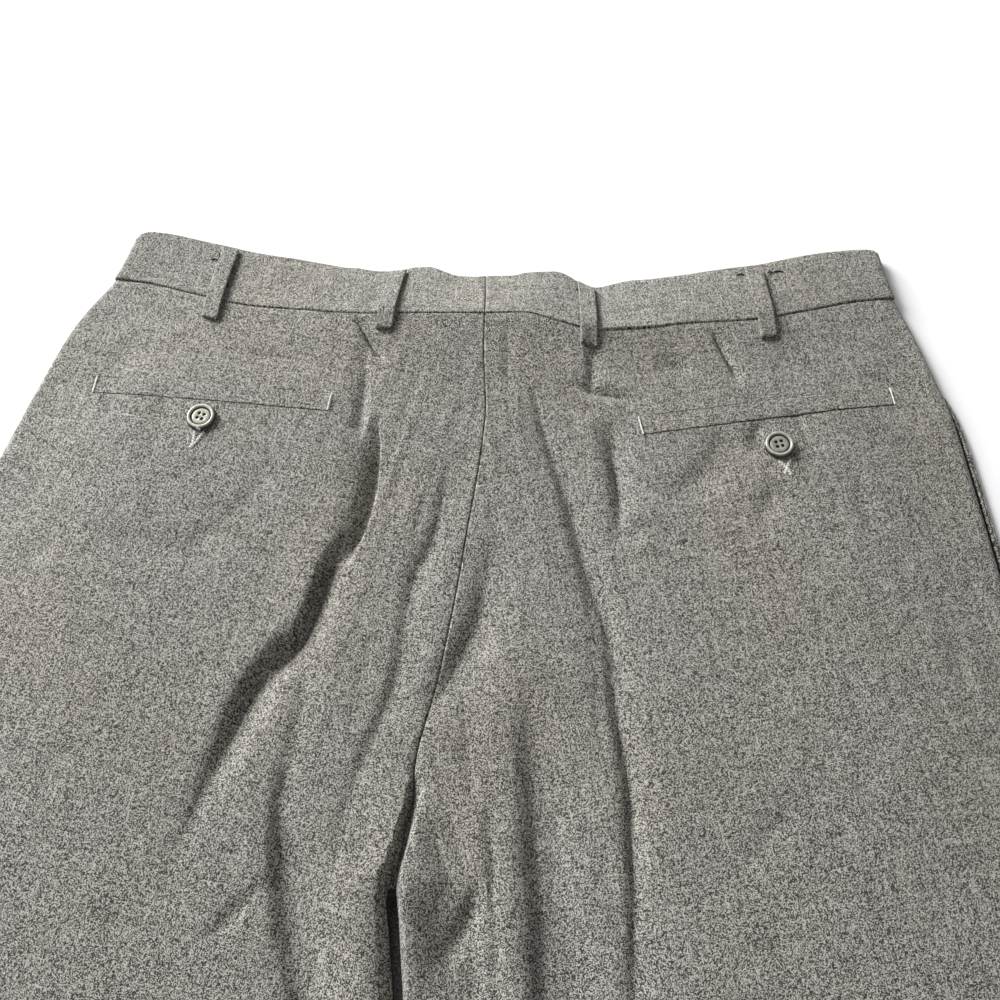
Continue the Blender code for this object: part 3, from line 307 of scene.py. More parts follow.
# How far the front panel reaches past the back panel at the right side seam, where the pocket mouth gapes.
RIGHT_OVERHANG = (
    # y, overhang
    (560.0, -1.0),
    (456.0, -1.0),
    (444.0, 2.2),
    (428.0, 4.0),
    (410.0, 5.0),
    (360.0, 5.3),
    (300.0, 5.0),
    (255.0, 3.0),
    (215.0, -1.0),
    (-560.0, -1.0),
)

# Back belt loops: where the middle of the loop crosses the waist seam, how far its top leans from there, how far
# its top end lies below the band's, and how far its foot reaches below the seam.
BACK_LOOPS = (
    # number, seam_x, top_lean, below_top, below_seam
    (1, -150.0, 4.5, 3.4, 13.5),
    (2, -51.5, 4.0, 3.6, 10.0),
    (3, 60.5, 0.5, 4.2, 10.0),
    (4, 160.0, -1.5, 6.6, 13.0),
)

# Back pockets: the ends of the welt's middle line, and the turn of the button's holes.
BACK_POCKETS = (
    # side, outer_x, outer_y, inner_x, inner_y, button_x, button_y, button_turn
    (Side.LEFT, -209.0, 454.5, -80.5, 440.5, -147.6, 431.1, -19.0),
    (Side.RIGHT, 223.6, 446.5, 86.7, 426.0, 158.0, 414.2, 10.0),
)

# How far the dark line of each pocket's mouth, a strip of painted shade, shows above and below its welt.
WELT_LINES = {
    Side.LEFT: (
        # part of the length, above, below
        (0.0, 0.10, 0.10), (0.03, 0.60, 0.28), (0.10, 0.62, 0.32), (0.13, 0.06, 0.10), (0.17, 0.14, 0.30),
        (0.24, 0.30, 0.34), (0.27, 0.14, 0.04), (0.36, 0.16, 0.12), (0.38, 0.08, 0.34), (0.50, 0.06, 0.30),
        (0.56, 0.10, 0.08), (0.66, 0.08, 0.14), (0.70, 0.10, 0.30), (0.74, 0.12, 0.32), (0.76, 0.58, 0.30),
        (0.84, 0.60, 0.34), (0.87, 0.08, 0.26), (0.92, 0.12, 0.34), (0.95, 0.42, 0.34), (1.0, 0.40, 0.20),
    ),
    Side.RIGHT: (
        (0.0, 0.04, 0.32), (0.08, 0.04, 0.36), (0.20, 0.08, 0.30), (0.24, 0.10, 0.42), (0.30, 0.12, 0.68),
        (0.45, 0.14, 0.72), (0.52, 0.14, 0.50), (0.58, 0.36, 0.20), (0.63, 0.40, 0.34), (0.72, 0.34, 0.20),
        (0.78, 0.40, 0.30), (0.80, 0.52, 0.24), (0.92, 0.58, 0.28), (0.95, 0.20, 0.10), (1.0, 0.04, 0.04),
    ),
}


def smooth(value: Grid | float) -> Grid:
    """Eases from 0 to 1 as the value goes from 0 to 1, and stays there past the ends."""
    held = np.clip(value, 0.0, 1.0)
    return held * held * (3.0 - 2.0 * held)


def between(keys: Grid, where: Grid, values: Grid, slopes: Grid) -> Grid:
    """Reads a smooth curve that passes through values with given slopes.

    Args:
        keys: Where the values lie, in rising order.
        where: Where to read the curve, between the first and the last of the keys.
        values: The values, one a row.
        slopes: The slope at each value.

    Returns:
        The curve's value at each place.
    """
    i = np.clip(np.searchsorted(keys, where, side="right") - 1, 0, len(keys) - 2)
    span = keys[i + 1] - keys[i]
    t = (where - keys[i]) / span
    if values.ndim > 1:
        span, t = span[:, None], t[:, None]
    start = (1 + 2 * t) * (1 - t) ** 2 * values[i] + t * (1 - t) ** 2 * span * slopes[i]
    end = t * t * (3 - 2 * t) * values[i + 1] - t * t * (1 - t) * span * slopes[i + 1]
    return start + end


class SmoothCurve:
    """A smooth curve through one column of a table against its first column."""

    def __init__(self, rows: tuple, column: int) -> None:
        """Works out the slope at each row.

        Args:
            rows: The table.
            column: Which of its columns the curve passes through.
        """
        table = np.array(sorted(row[:1] + row[column : column + 1] for row in rows), dtype=float)
        self.keys = table[:, 0]
        self.values = table[:, 1]
        steps = np.diff(self.values) / np.diff(self.keys)
        before = steps[:-1]
        after = steps[1:]
        same_way = before * after > 0.0
        total = np.where(same_way, before + after, 1.0)
        middle = np.where(same_way, 2.0 * before * after / total, 0.0)
        self.slopes = np.concatenate([steps[:1], middle, steps[-1:]])

    def at(self, key: Grid | float) -> Grid:
        """Gives the curve's value at a key, or the nearest end's value past the ends."""
        return between(self.keys, np.clip(key, self.keys[0], self.keys[-1]), self.values, self.slopes)


def smooth_run(points: Grid, step: float) -> Grid:
    """Runs a smooth line through points.

    Args:
        points: The points, one a row, with x and y first and any other values after them.
        step: How far apart the points that come out lie.

    Returns:
        The points of the line.
    """
    gaps = np.hypot(np.diff(points[:, 0]), np.diff(points[:, 1]))
    keys = np.concatenate([[0.0], np.cumsum(gaps)])
    where = np.linspace(0.0, keys[-1], max(int(keys[-1] / step), 2) + 1)
    return between(keys, where, points, np.gradient(points, keys, axis=0))


@dataclass(frozen=True)
class Crease:
    """A crease: a trough along a run of points, or a ridge where its depth is under zero.

    Its half widths are to the left and to the right of somebody who walks along it, and its sharpness is 2 for a
    round bottom and 1 for a pointed one.
    """

    name: str
    right: float
    left: float
    sharpness: float
    points: tuple[Point, ...]

    def depth(self, x: Grid, y: Grid) -> Grid:
        """Gives how far the crease lowers the cloth.

        Args:
            x: Places across.
            y: Places along.

        Returns:
            The depth at each place.
        """
        run = smooth_run(np.array(self.points), CREASE_STEP)
        lowered = np.zeros_like(x)
        reach = 3.0 * max(self.left, self.right)
        low = run[:, :2].min(axis=0) - reach
        high = run[:, :2].max(axis=0) + reach
        near = (x > low[0]) & (x < high[0]) & (y > low[1]) & (y < high[1])
        if not near.any():
            return lowered
        away = np.stack([x[near], y[near]], axis=-1)[:, None, :] - run[None, :, :2]
        nearest = np.argmin((away**2).sum(axis=-1), axis=1)
        ahead = np.gradient(run[:, :2], axis=0)
        ahead /= np.linalg.norm(ahead, axis=1, keepdims=True)
        offset = away[np.arange(len(nearest)), nearest]
        forward = (offset * ahead[nearest]).sum(axis=-1)
        aside = ahead[nearest, 0] * offset[:, 1] - ahead[nearest, 1] * offset[:, 0]
        here = nearest + forward / CREASE_STEP
        strength = np.interp(here, np.arange(len(run)), run[:, 2])
        past_end = np.where((nearest == 0) & (forward < 0.0), forward, 0.0)
        past_end = np.where((nearest == len(run) - 1) & (forward > 0.0), forward, past_end)
        width = np.where(aside > 0.0, self.left, self.right)
        distance = np.hypot(aside, past_end) / width
        lowered[near] = strength * np.exp(-(distance**self.sharpness))
        return lowered


# Creases of the seat and the tops of the legs, each with its points' x, y and depth.
CREASES = (
    # name, half width right and left, sharpness, points
    Crease("main_top", 4.5, 1.8, 1.4, (
        (-61.0, 483.4, 0.0), (-61.6, 465.7, 1.5), (-61.5, 452.9, 2.0), (-61.8, 440.3, 2.6), (-62.2, 428.0, 2.6),
        (-62.1, 417.7, 0.0),
    )),
    Crease("main_upper", 7.5, 0.3, 1.3, (
        (-53.3, 431.0, 0.0), (-52.2, 421.3, 3.0), (-51.6, 409.3, 5.6), (-52.0, 396.4, 7.6), (-53.4, 383.8, 8.6),
        (-55.4, 372.5, 8.6), (-58.4, 362.5, 7.2), (-61.9, 354.9, 4.4), (-66.5, 347.4, 0.0),
    )),
    Crease("main_lower", 1.6, 9.5, 1.5, (
        (-66.8, 366.9, 0.0), (-71.2, 357.1, 3.4), (-74.1, 349.5, 5.4), (-77.0, 341.0, 6.4), (-79.3, 332.0, 6.8),
        (-82.0, 323.2, 6.8), (-85.2, 314.6, 6.6), (-89.4, 307.0, 5.8), (-93.6, 300.6, 4.2), (-98.2, 293.2, 0.0),
    )),
    Crease("main_black", 0.8, 2.8, 1.3, (
        (-72.7, 357.1, 0.0), (-77.6, 342.0, 4.0), (-81.1, 329.4, 5.6), (-84.5, 317.1, 5.4), (-88.9, 306.5, 4.2),
        (-94.8, 297.1, 2.0), (-100.4, 286.5, 0.0),
    )),
    Crease("main_tail", 4.0, 9.0, 1.6, (
        (-89.6, 314.1, 0.0), (-95.4, 304.1, 3.4), (-101.2, 294.2, 6.2), (-106.0, 285.5, 7.4), (-109.8, 276.9, 7.2),
        (-113.0, 267.5, 6.2), (-116.1, 258.3, 5.0), (-119.7, 246.5, 3.4), (-123.8, 235.0, 2.2), (-127.9, 222.0, 1.4),
        (-131.6, 209.3, 0.7), (-134.0, 195.3, 0.0),
    )),
    Crease("seat_line", 3.0, 8.0, 1.3, (
        (-7.5, 415.3, 0.0), (-13.6, 401.1, 1.3), (-17.9, 383.8, 1.9), (-21.0, 366.9, 2.2), (-25.2, 354.9, 2.4),
        (-29.9, 344.2, 2.4), (-33.3, 329.4, 2.4), (-35.6, 314.1, 2.1), (-36.9, 299.1, 2.1), (-39.6, 284.5, 2.2),
        (-42.9, 274.1, 2.2), (-47.0, 262.4, 1.9), (-51.8, 249.7, 1.4), (-56.4, 236.3, 1.0), (-60.8, 221.2, 0.8),
        (-64.7, 200.2, 0.6), (-66.6, 180.1, 0.0),
    )),
    Crease("cb_valley", 6.0, 12.0, 1.4, (
        (5.9, 363.6, 0.0), (6.0, 347.9, 2.2), (4.1, 331.0, 3.2), (0.3, 317.1, 4.1), (-4.4, 306.5, 4.1),
        (-9.1, 296.7, 4.1), (-14.1, 286.5, 3.2), (-19.6, 277.9, 1.6), (-24.0, 269.4, 0.0),
    )),
    Crease("cb_tail", 3.0, 6.0, 1.3, (
        (-8.5, 291.3, 0.0), (-5.0, 277.4, 1.0), (-3.3, 261.0, 1.3), (-2.2, 243.0, 1.1), (-1.1, 228.9, 0.0),
    )),
    Crease("leg_top", 3.5, 7.0, 1.4, (
        (-83.3, 309.0, 0.0), (-82.1, 289.4, 1.3), (-83.3, 269.4, 1.6), (-85.4, 251.0, 1.7), (-87.8, 237.6, 1.7),
        (-88.8, 228.9, 0.0),
    )),
    Crease("leg_low", 2.6, 15.0, 1.5, (
        (-86.9, 247.4, 0.0), (-88.6, 235.9, 2.0), (-88.2, 222.9, 4.2), (-86.4, 208.5, 6.0), (-84.9, 196.2, 6.8),
        (-82.1, 184.9, 7.2), (-78.9, 173.1, 7.2), (-75.2, 160.8, 7.0), (-72.2, 149.5, 6.0), (-69.0, 131.3, 0.0),
    )),
    Crease("short_diag", 2.2, 2.6, 1.3, (
        (-90.1, 201.1, 0.0), (-96.4, 193.7, 1.4), (-102.6, 187.3, 1.8), (-108.8, 181.3, 1.7), (-114.2, 176.6, 1.1),
        (-122.2, 172.3, 0.0),
    )),
    Crease("loop2_dash", 1.0, 1.5, 1.2, (
        (-68.9, 494.1, 0.0), (-65.0, 486.1, 2.6), (-60.7, 478.1, 4.4), (-56.4, 471.5, 4.0), (-51.2, 465.7, 0.0),
    )),
    Crease("band_dash", 1.8, 1.8, 1.3, (
        (-95.0, 505.0, 0.0), (-89.0, 500.2, 0.5), (-81.7, 493.5, 0.5), (-73.3, 484.7, 0.0),
    )),
    Crease("flat_a", 5.0, 2.6, 1.6, (
        (-136.8, 474.1, 0.0), (-123.3, 471.5, 1.0), (-107.5, 468.3, 1.0), (-91.8, 465.0, 0.0),
    )),
    Crease("side_soft", 7.0, 7.0, 1.8, (
        (-180.7, 494.1, 0.0), (-192.9, 478.8, 1.1), (-201.1, 461.2, 1.0), (-205.5, 448.4, 0.0),
    )),
    Crease("button_l_soft", 6.0, 5.0, 1.7, (
        (-166.6, 449.7, 0.0), (-169.4, 438.4, 0.9), (-170.3, 418.9, 0.9), (-171.9, 397.6, 0.0),
    )),
    Crease("low_l_soft", 9.0, 6.0, 1.8, (
        (-195.3, 363.6, 0.0), (-177.7, 361.4, 0.8), (-159.9, 357.1, 1.0), (-141.9, 358.7, 1.0), (-127.2, 371.4, 0.9),
        (-111.9, 391.8, 0.7), (-99.2, 411.7, 0.0),
    )),
    Crease("mid_soft", 6.0, 5.0, 1.7, (
        (-51.9, 337.3, 0.0), (-53.3, 309.0, 0.5), (-53.5, 279.8, 0.6), (-54.7, 251.9, 0.0),
    )),
    Crease("l3_left", 4.0, 3.0, 1.5, (
        (16.6, 494.1, 0.0), (15.9, 475.5, 0.8), (15.9, 458.6, 0.8), (16.4, 440.3, 0.0),
    )),
    Crease("l3_drop", 2.2, 3.2, 1.3, (
        (62.2, 483.4, 0.0), (62.4, 474.1, 2.2), (62.0, 463.7, 2.6), (61.1, 453.5, 2.2), (59.1, 444.7, 0.0),
    )),
    Crease("welt_in", 2.6, 2.6, 1.3, (
        (47.4, 452.2, 0.0), (56.0, 449.1, 2.2), (64.6, 445.9, 3.0), (72.1, 444.7, 3.0), (79.5, 442.2, 2.4),
        (86.8, 437.8, 1.4), (93.1, 434.7, 0.0),
    )),
    Crease("welt_in_low", 3.0, 3.0, 1.4, (
        (41.8, 445.9, 0.0), (50.3, 438.4, 0.7), (60.9, 434.1, 0.8), (71.5, 432.2, 0.0),
    )),
    Crease("long_a", 3.6, 10.0, 1.3, (
        (27.8, 452.2, 0.0), (30.4, 440.9, 1.6), (34.4, 424.9, 2.6), (38.8, 408.1, 3.1), (43.6, 390.6, 3.5),
        (47.8, 374.7, 3.8), (51.0, 359.8, 3.9), (54.1, 345.2, 3.9), (58.9, 329.4, 3.9), (63.7, 313.1, 3.9),
        (65.9, 297.1, 3.8), (65.8, 282.6, 3.5), (66.5, 268.5, 3.2), (68.3, 253.7, 3.0), (70.1, 238.5, 2.9),
        (70.4, 221.2, 2.9), (70.4, 204.4, 2.9), (70.3, 188.1, 2.7), (69.0, 172.3, 2.3), (67.5, 153.2, 2.1),
        (66.3, 131.3, 0.0),
    )),
    Crease("long_left", 3.0, 3.0, 1.3, (
        (53.2, 352.7, 0.0), (54.5, 334.7, 0.9), (57.0, 309.0, 1.2), (57.9, 284.5, 1.2), (58.0, 265.7, 0.9),
        (58.3, 238.5, 0.0),
    )),
    Crease("long_left_low", 2.4, 2.4, 1.3, (
        (57.8, 227.6, 0.0), (57.6, 212.7, 0.8), (59.0, 196.2, 0.9), (62.1, 180.1, 0.7), (65.8, 168.4, 0.0),
    )),
    Crease("pocket_drop", 3.4, 6.0, 1.3, (
        (66.6, 431.0, 0.0), (68.8, 420.1, 3.0), (70.8, 406.9, 4.6), (72.2, 392.9, 4.8), (72.6, 380.4, 4.4),
        (72.1, 369.2, 2.4), (70.0, 358.7, 0.0),
    )),
    Crease("pocket_turn", 3.5, 6.0, 1.4, (
        (73.2, 361.4, 0.0), (78.4, 363.6, 1.5), (85.7, 366.4, 2.0), (91.5, 362.5, 1.9), (98.2, 357.6, 1.5),
        (108.2, 356.5, 1.2), (118.0, 352.7, 0.7), (126.2, 344.2, 0.0),
    )),
    Crease("thigh_a", 7.0, 22.0, 1.4, (
        (23.9, 291.3, 0.0), (25.1, 276.0, 1.9), (25.4, 261.0, 3.4), (26.1, 246.5, 4.8), (27.7, 232.4, 5.8),
        (28.0, 219.5, 6.0), (27.4, 206.8, 6.2), (28.5, 194.5, 6.5), (30.4, 182.5, 6.7), (31.1, 170.7, 7.2),
        (32.1, 159.3, 7.4), (32.2, 145.8, 6.7), (32.2, 124.2, 3.6), (32.1, 103.5, 0.0),
    )),
    Crease("thigh_right", 2.6, 2.6, 1.3, (
        (38.7, 237.6, 0.0), (37.0, 221.2, 0.8), (37.0, 206.4, 0.8), (38.8, 190.1, 0.0),
    )),
    Crease("dent_blob", 5.0, 5.0, 1.8, (
        (93.9, 465.0, 0.0), (103.7, 463.1, 1.8), (111.3, 461.8, 1.8), (121.1, 461.2, 0.0),
    )),
    Crease("dent_line", 1.2, 2.2, 1.2, (
        (129.3, 486.1, 0.0), (132.0, 478.1, 3.2), (136.1, 468.9, 4.4), (139.1, 459.9, 3.6), (142.5, 451.0, 0.0),
    )),
    Crease("dent_far", 2.6, 2.6, 1.5, (
        (154.2, 472.8, 0.0), (163.6, 468.3, 0.5), (176.2, 463.7, 0.5), (189.0, 461.2, 0.0),
    )),
    Crease("side_crease", 2.2, 3.0, 1.3, (
        (205.0, 465.0, 0.0), (212.8, 458.6, 0.9), (220.9, 454.8, 1.2), (230.3, 452.2, 1.2), (238.2, 447.8, 1.1),
        (245.0, 443.4, 0.7), (250.5, 438.4, 0.0),
    )),
    Crease("button_r_left", 4.0, 7.0, 1.5, (
        (151.9, 432.2, 0.0), (147.7, 423.7, 1.9), (146.2, 414.1, 1.9), (148.9, 405.8, 0.0),
    )),
    Crease("button_r_right", 2.6, 5.0, 1.4, (
        (165.3, 437.2, 0.0), (170.3, 429.8, 1.4), (173.9, 420.1, 1.4), (176.5, 408.1, 0.0),
    )),
    Crease("hole_r_blob", 5.0, 13.0, 1.7, (
        (155.6, 395.2, 0.0), (152.0, 387.2, 1.9), (148.6, 379.2, 1.6), (145.9, 369.2, 0.0),
    )),
    Crease("under_welt", 5.0, 15.0, 1.7, (
        (132.2, 428.6, 0.0), (126.7, 415.3, 1.3), (119.2, 401.1, 1.6), (108.0, 391.8, 1.6), (94.1, 386.0, 0.0),
    )),
    Crease("right_soft_a", 4.0, 4.5, 1.5, (
        (196.0, 411.7, 0.0), (196.8, 389.5, 0.6), (197.2, 371.4, 0.9), (203.5, 360.3, 0.9), (215.1, 353.8, 0.7),
        (227.4, 352.7, 0.0),
    )),
    Crease("right_soft_b", 5.0, 4.0, 1.6, (
        (229.3, 320.2, 0.0), (232.1, 304.1, 0.7), (234.7, 288.4, 0.9), (240.3, 274.1, 0.0),
    )),
    Crease("right_soft_c", 5.0, 5.0, 1.7, (
        (118.3, 200.2, 0.0), (128.4, 212.7, 0.8), (138.7, 224.6, 0.8), (150.7, 234.1, 0.0),
    )),
    Crease("right_soft_d", 5.0, 5.0, 1.7, (
        (174.9, 262.9, 0.0), (179.1, 248.3, 0.6), (179.7, 234.1, 0.7), (189.1, 225.5, 0.0),
    )),
    Crease("gore_a", 3.4, 5.0, 1.5, (
        (-22.5, 224.6, 0.0), (-18.3, 216.1, 1.8), (-14.1, 207.7, 2.8), (-9.5, 198.6, 2.6), (-5.0, 191.3, 0.0),
    )),
    Crease("gore_b", 4.0, 5.4, 1.5, (
        (3.6, 205.2, 0.0), (1.1, 193.7, 2.4), (-3.1, 183.3, 3.6), (-9.0, 173.1, 3.6), (-14.7, 162.7, 0.0),
    )),
    Crease("gore_c", 11.0, 13.0, 1.5, (
        (-11.8, 201.9, 0.0), (-13.2, 191.3, 2.6), (-14.6, 180.1, 3.7), (-14.9, 166.9, 3.3), (-14.3, 149.5, 0.0),
    )),
    Crease("gore_d", 8.0, 9.0, 1.5, ((-9.0, 168.4, 0.0), (-2.4, 158.9, 1.8), (0.7, 145.8, 0.0))),
    Crease("inseam_line", 0.7, 4.5, 1.2, (
        (4.2, 240.7, 0.0), (5.7, 228.9, 1.0), (6.6, 217.8, 1.6), (7.5, 207.7, 1.9), (7.6, 192.1, 2.0),
        (8.1, 178.2, 2.0), (8.5, 166.5, 2.0), (9.4, 153.2, 1.8), (9.9, 131.3, 0.0),
    )),
    Crease("center_fine", 3.0, 3.0, 1.5, ((17.6, 358.7, 0.0), (15.0, 339.9, 0.5), (13.0, 319.2, 0.0))),
    Crease("slit_fold", 2.4, 3.2, 3.5, (
        (-23.3, 246.5, 0.0), (-26.7, 239.4, 2.4), (-28.7, 234.1, 4.8), (-30.2, 225.5, 6.0), (-32.1, 217.8, 6.8),
        (-34.9, 209.3, 7.2), (-37.6, 201.9, 6.8), (-38.7, 196.6, 3.0), (-38.0, 192.5, 0.0),
    )),
    Crease("gore_floor", 30.0, 4.0, 1.1, (
        (-15.7, 238.5, 0.0), (-8.6, 221.2, 1.2), (-3.0, 206.4, 2.2), (0.2, 192.1, 3.0), (1.7, 176.2, 3.2),
        (2.7, 160.8, 3.2), (3.2, 142.2, 2.8), (3.4, 117.2, 1.4), (3.7, 90.2, 0.0),
    )),
    Crease("main_ridge", 12.0, 6.0, 2.0, (
        (-64.1, 372.5, 0.0), (-70.6, 363.6, -1.0), (-77.7, 350.6, -1.4), (-83.5, 335.7, -1.5), (-88.4, 323.2, -1.5),
        (-94.2, 312.1, -1.4), (-102.8, 301.1, -1.2), (-110.2, 289.4, -1.0), (-116.4, 276.9, -0.8),
        (-122.2, 262.9, -0.5), (-127.6, 247.4, 0.0),
    )),
    Crease("thigh_ridge", 8.0, 6.0, 2.0, (
        (17.2, 284.5, 0.0), (18.0, 261.0, -0.8), (18.7, 234.1, -1.0), (19.9, 208.5, -1.0), (21.8, 184.1, -1.0),
        (22.9, 160.8, -1.0), (23.3, 131.3, 0.0),
    )),
    Crease("slit_ridge", 9.0, 1.3, 1.6, (
        (-24.2, 248.3, 0.0), (-27.6, 240.7, -1.0), (-31.3, 231.5, -1.8), (-32.9, 224.6, -2.4), (-35.1, 214.8, -2.8),
        (-38.6, 203.5, -2.8), (-40.3, 194.1, -1.6), (-41.3, 180.1, -0.8), (-39.9, 153.2, -0.8), (-37.6, 117.2, 0.0),
    )),
    Crease("main_edge", 3.0, 0.5, 1.3, (
        (-52.8, 411.7, 0.0), (-53.2, 398.7, 1.6), (-54.6, 386.0, 2.4), (-56.5, 374.7, 2.6), (-60.0, 363.6, 2.2),
        (-64.5, 354.9, 1.2), (-68.5, 347.4, 0.0),
    )),
    Crease("thigh_black", 1.2, 8.0, 1.3, (
        (27.8, 208.5, 0.0), (29.4, 195.3, 2.5), (30.0, 180.1, 3.9), (30.5, 164.6, 4.4), (31.5, 149.5, 4.4),
        (31.9, 131.3, 0.0),
    )),
    Crease("long_line", 1.1, 2.6, 1.3, (
        (59.1, 313.1, 0.0), (62.2, 295.2, 1.0), (64.7, 277.9, 1.4), (67.9, 258.8, 1.8), (70.1, 238.5, 2.0),
        (69.8, 216.9, 2.0), (69.5, 196.2, 1.8), (68.8, 176.2, 1.4), (68.3, 153.2, 1.0), (67.5, 131.3, 0.0),
    )),
    Crease("gore_ridge", 1.8, 32.0, 1.2, (
        (-25.1, 247.4, 0.0), (-28.0, 227.6, -2.9), (-30.8, 206.4, -6.7), (-31.2, 196.2, -9.2), (-30.3, 184.1, -9.6),
        (-29.3, 170.4, -9.2), (-27.8, 153.2, -7.5), (-26.1, 131.3, -4.6), (-24.0, 96.8, 0.0),
    )),
    Crease("slit_shade", 12.0, 6.0, 1.4, (
        (-42.1, 204.4, 0.0), (-38.1, 194.1, 1.4), (-36.0, 186.1, 2.2), (-34.2, 176.2, 2.6), (-32.7, 160.8, 2.6),
        (-31.1, 142.2, 2.0), (-29.6, 117.2, 0.0),
    )),
    Crease("slit_high", 14.0, 14.0, 1.8, (
        (-54.9, 212.7, 0.0), (-52.2, 196.2, -1.6), (-50.3, 180.1, -2.6), (-48.3, 160.8, -2.8), (-46.1, 138.5, -2.0),
        (-43.3, 103.5, 0.0),
    )),
    Crease("pressed_left", 5.0, 5.0, 1.0, ((-145.5, 120.0, 0.0), (-151.0, -130.0, -1.6), (-141.0, -590.0, -1.6))),
    Crease("pressed_right", 5.0, 5.0, 1.0, ((118.3, 130.0, 0.0), (121.5, -130.0, -1.6), (129.0, -590.0, -1.6))),
)


@dataclass(frozen=True)
class Column:
    """A line of points down a panel: a part of the way between two guide lines, or through a rounded edge."""

    start: str
    end: str
    part: float


def lattice_noise(x: Grid, y: Grid, cell_x: float, cell_y: float, seed: int) -> Grid:
    """Gives a soft random height over the plane.

    Args:
        x: Places across, in millimetres.
        y: Places along, in millimetres.
        cell_x: Width of a bump.
        cell_y: Length of a bump.
        seed: Which of the random patterns to take.

    Returns:
        Values from about -1 to 1.
    """
    size = 97
    lattice = np.random.default_rng(seed).uniform(-1.0, 1.0, (size, size))
    column = x / cell_x + 1000.0
    row = y / cell_y + 1000.0
    i = np.floor(column).astype(int)
    j = np.floor(row).astype(int)
    s = smooth(column - i)
    t = smooth(row - j)
    low = lattice[i % size, j % size] * (1 - s) + lattice[(i + 1) % size, j % size] * s
    high = lattice[i % size, (j + 1) % size] * (1 - s) + lattice[(i + 1) % size, (j + 1) % size] * s
    return low * (1 - t) + high * t


@dataclass(frozen=True)
class GrainLine:
    """The way the warp of a panel runs: it leans over the seat, and turns to follow the leg below."""

    middle_x: float
    seat_lean: float
    leg_lean: float
    turn_y: tuple[float, float] = (130.0, -120.0)

    def threads(self, x: Grid, y: Grid) -> tuple[Grid, Grid]:
        """Gives how far along the weft and the warp a place lies.

        Args:
            x: Places across.
            y: Places along.

        Returns:
            The distances across and down the cloth, in millimetres.
        """
        step = 5.0
        rows = np.arange(620.0, -640.0, -step)
        turned = smooth((self.turn_y[0] - rows) / (self.turn_y[0] - self.turn_y[1]))
        lean = np.radians(self.seat_lean + (self.leg_lean - self.seat_lean) * turned)
        run_x = self.middle_x + np.cumsum(step * np.tan(lean))
        length = np.cumsum(step / np.cos(lean))
        place = -y
        here = np.interp(place, -rows, lean)
        offset = x - np.interp(place, -rows, run_x)
        return offset * np.cos(here), np.interp(place, -rows, length) + offset * np.sin(here)


GRAIN = {Side.LEFT: GrainLine(-40.0, -15.0, -1.0), Side.RIGHT: GrainLine(60.0, 8.5, 1.0)}


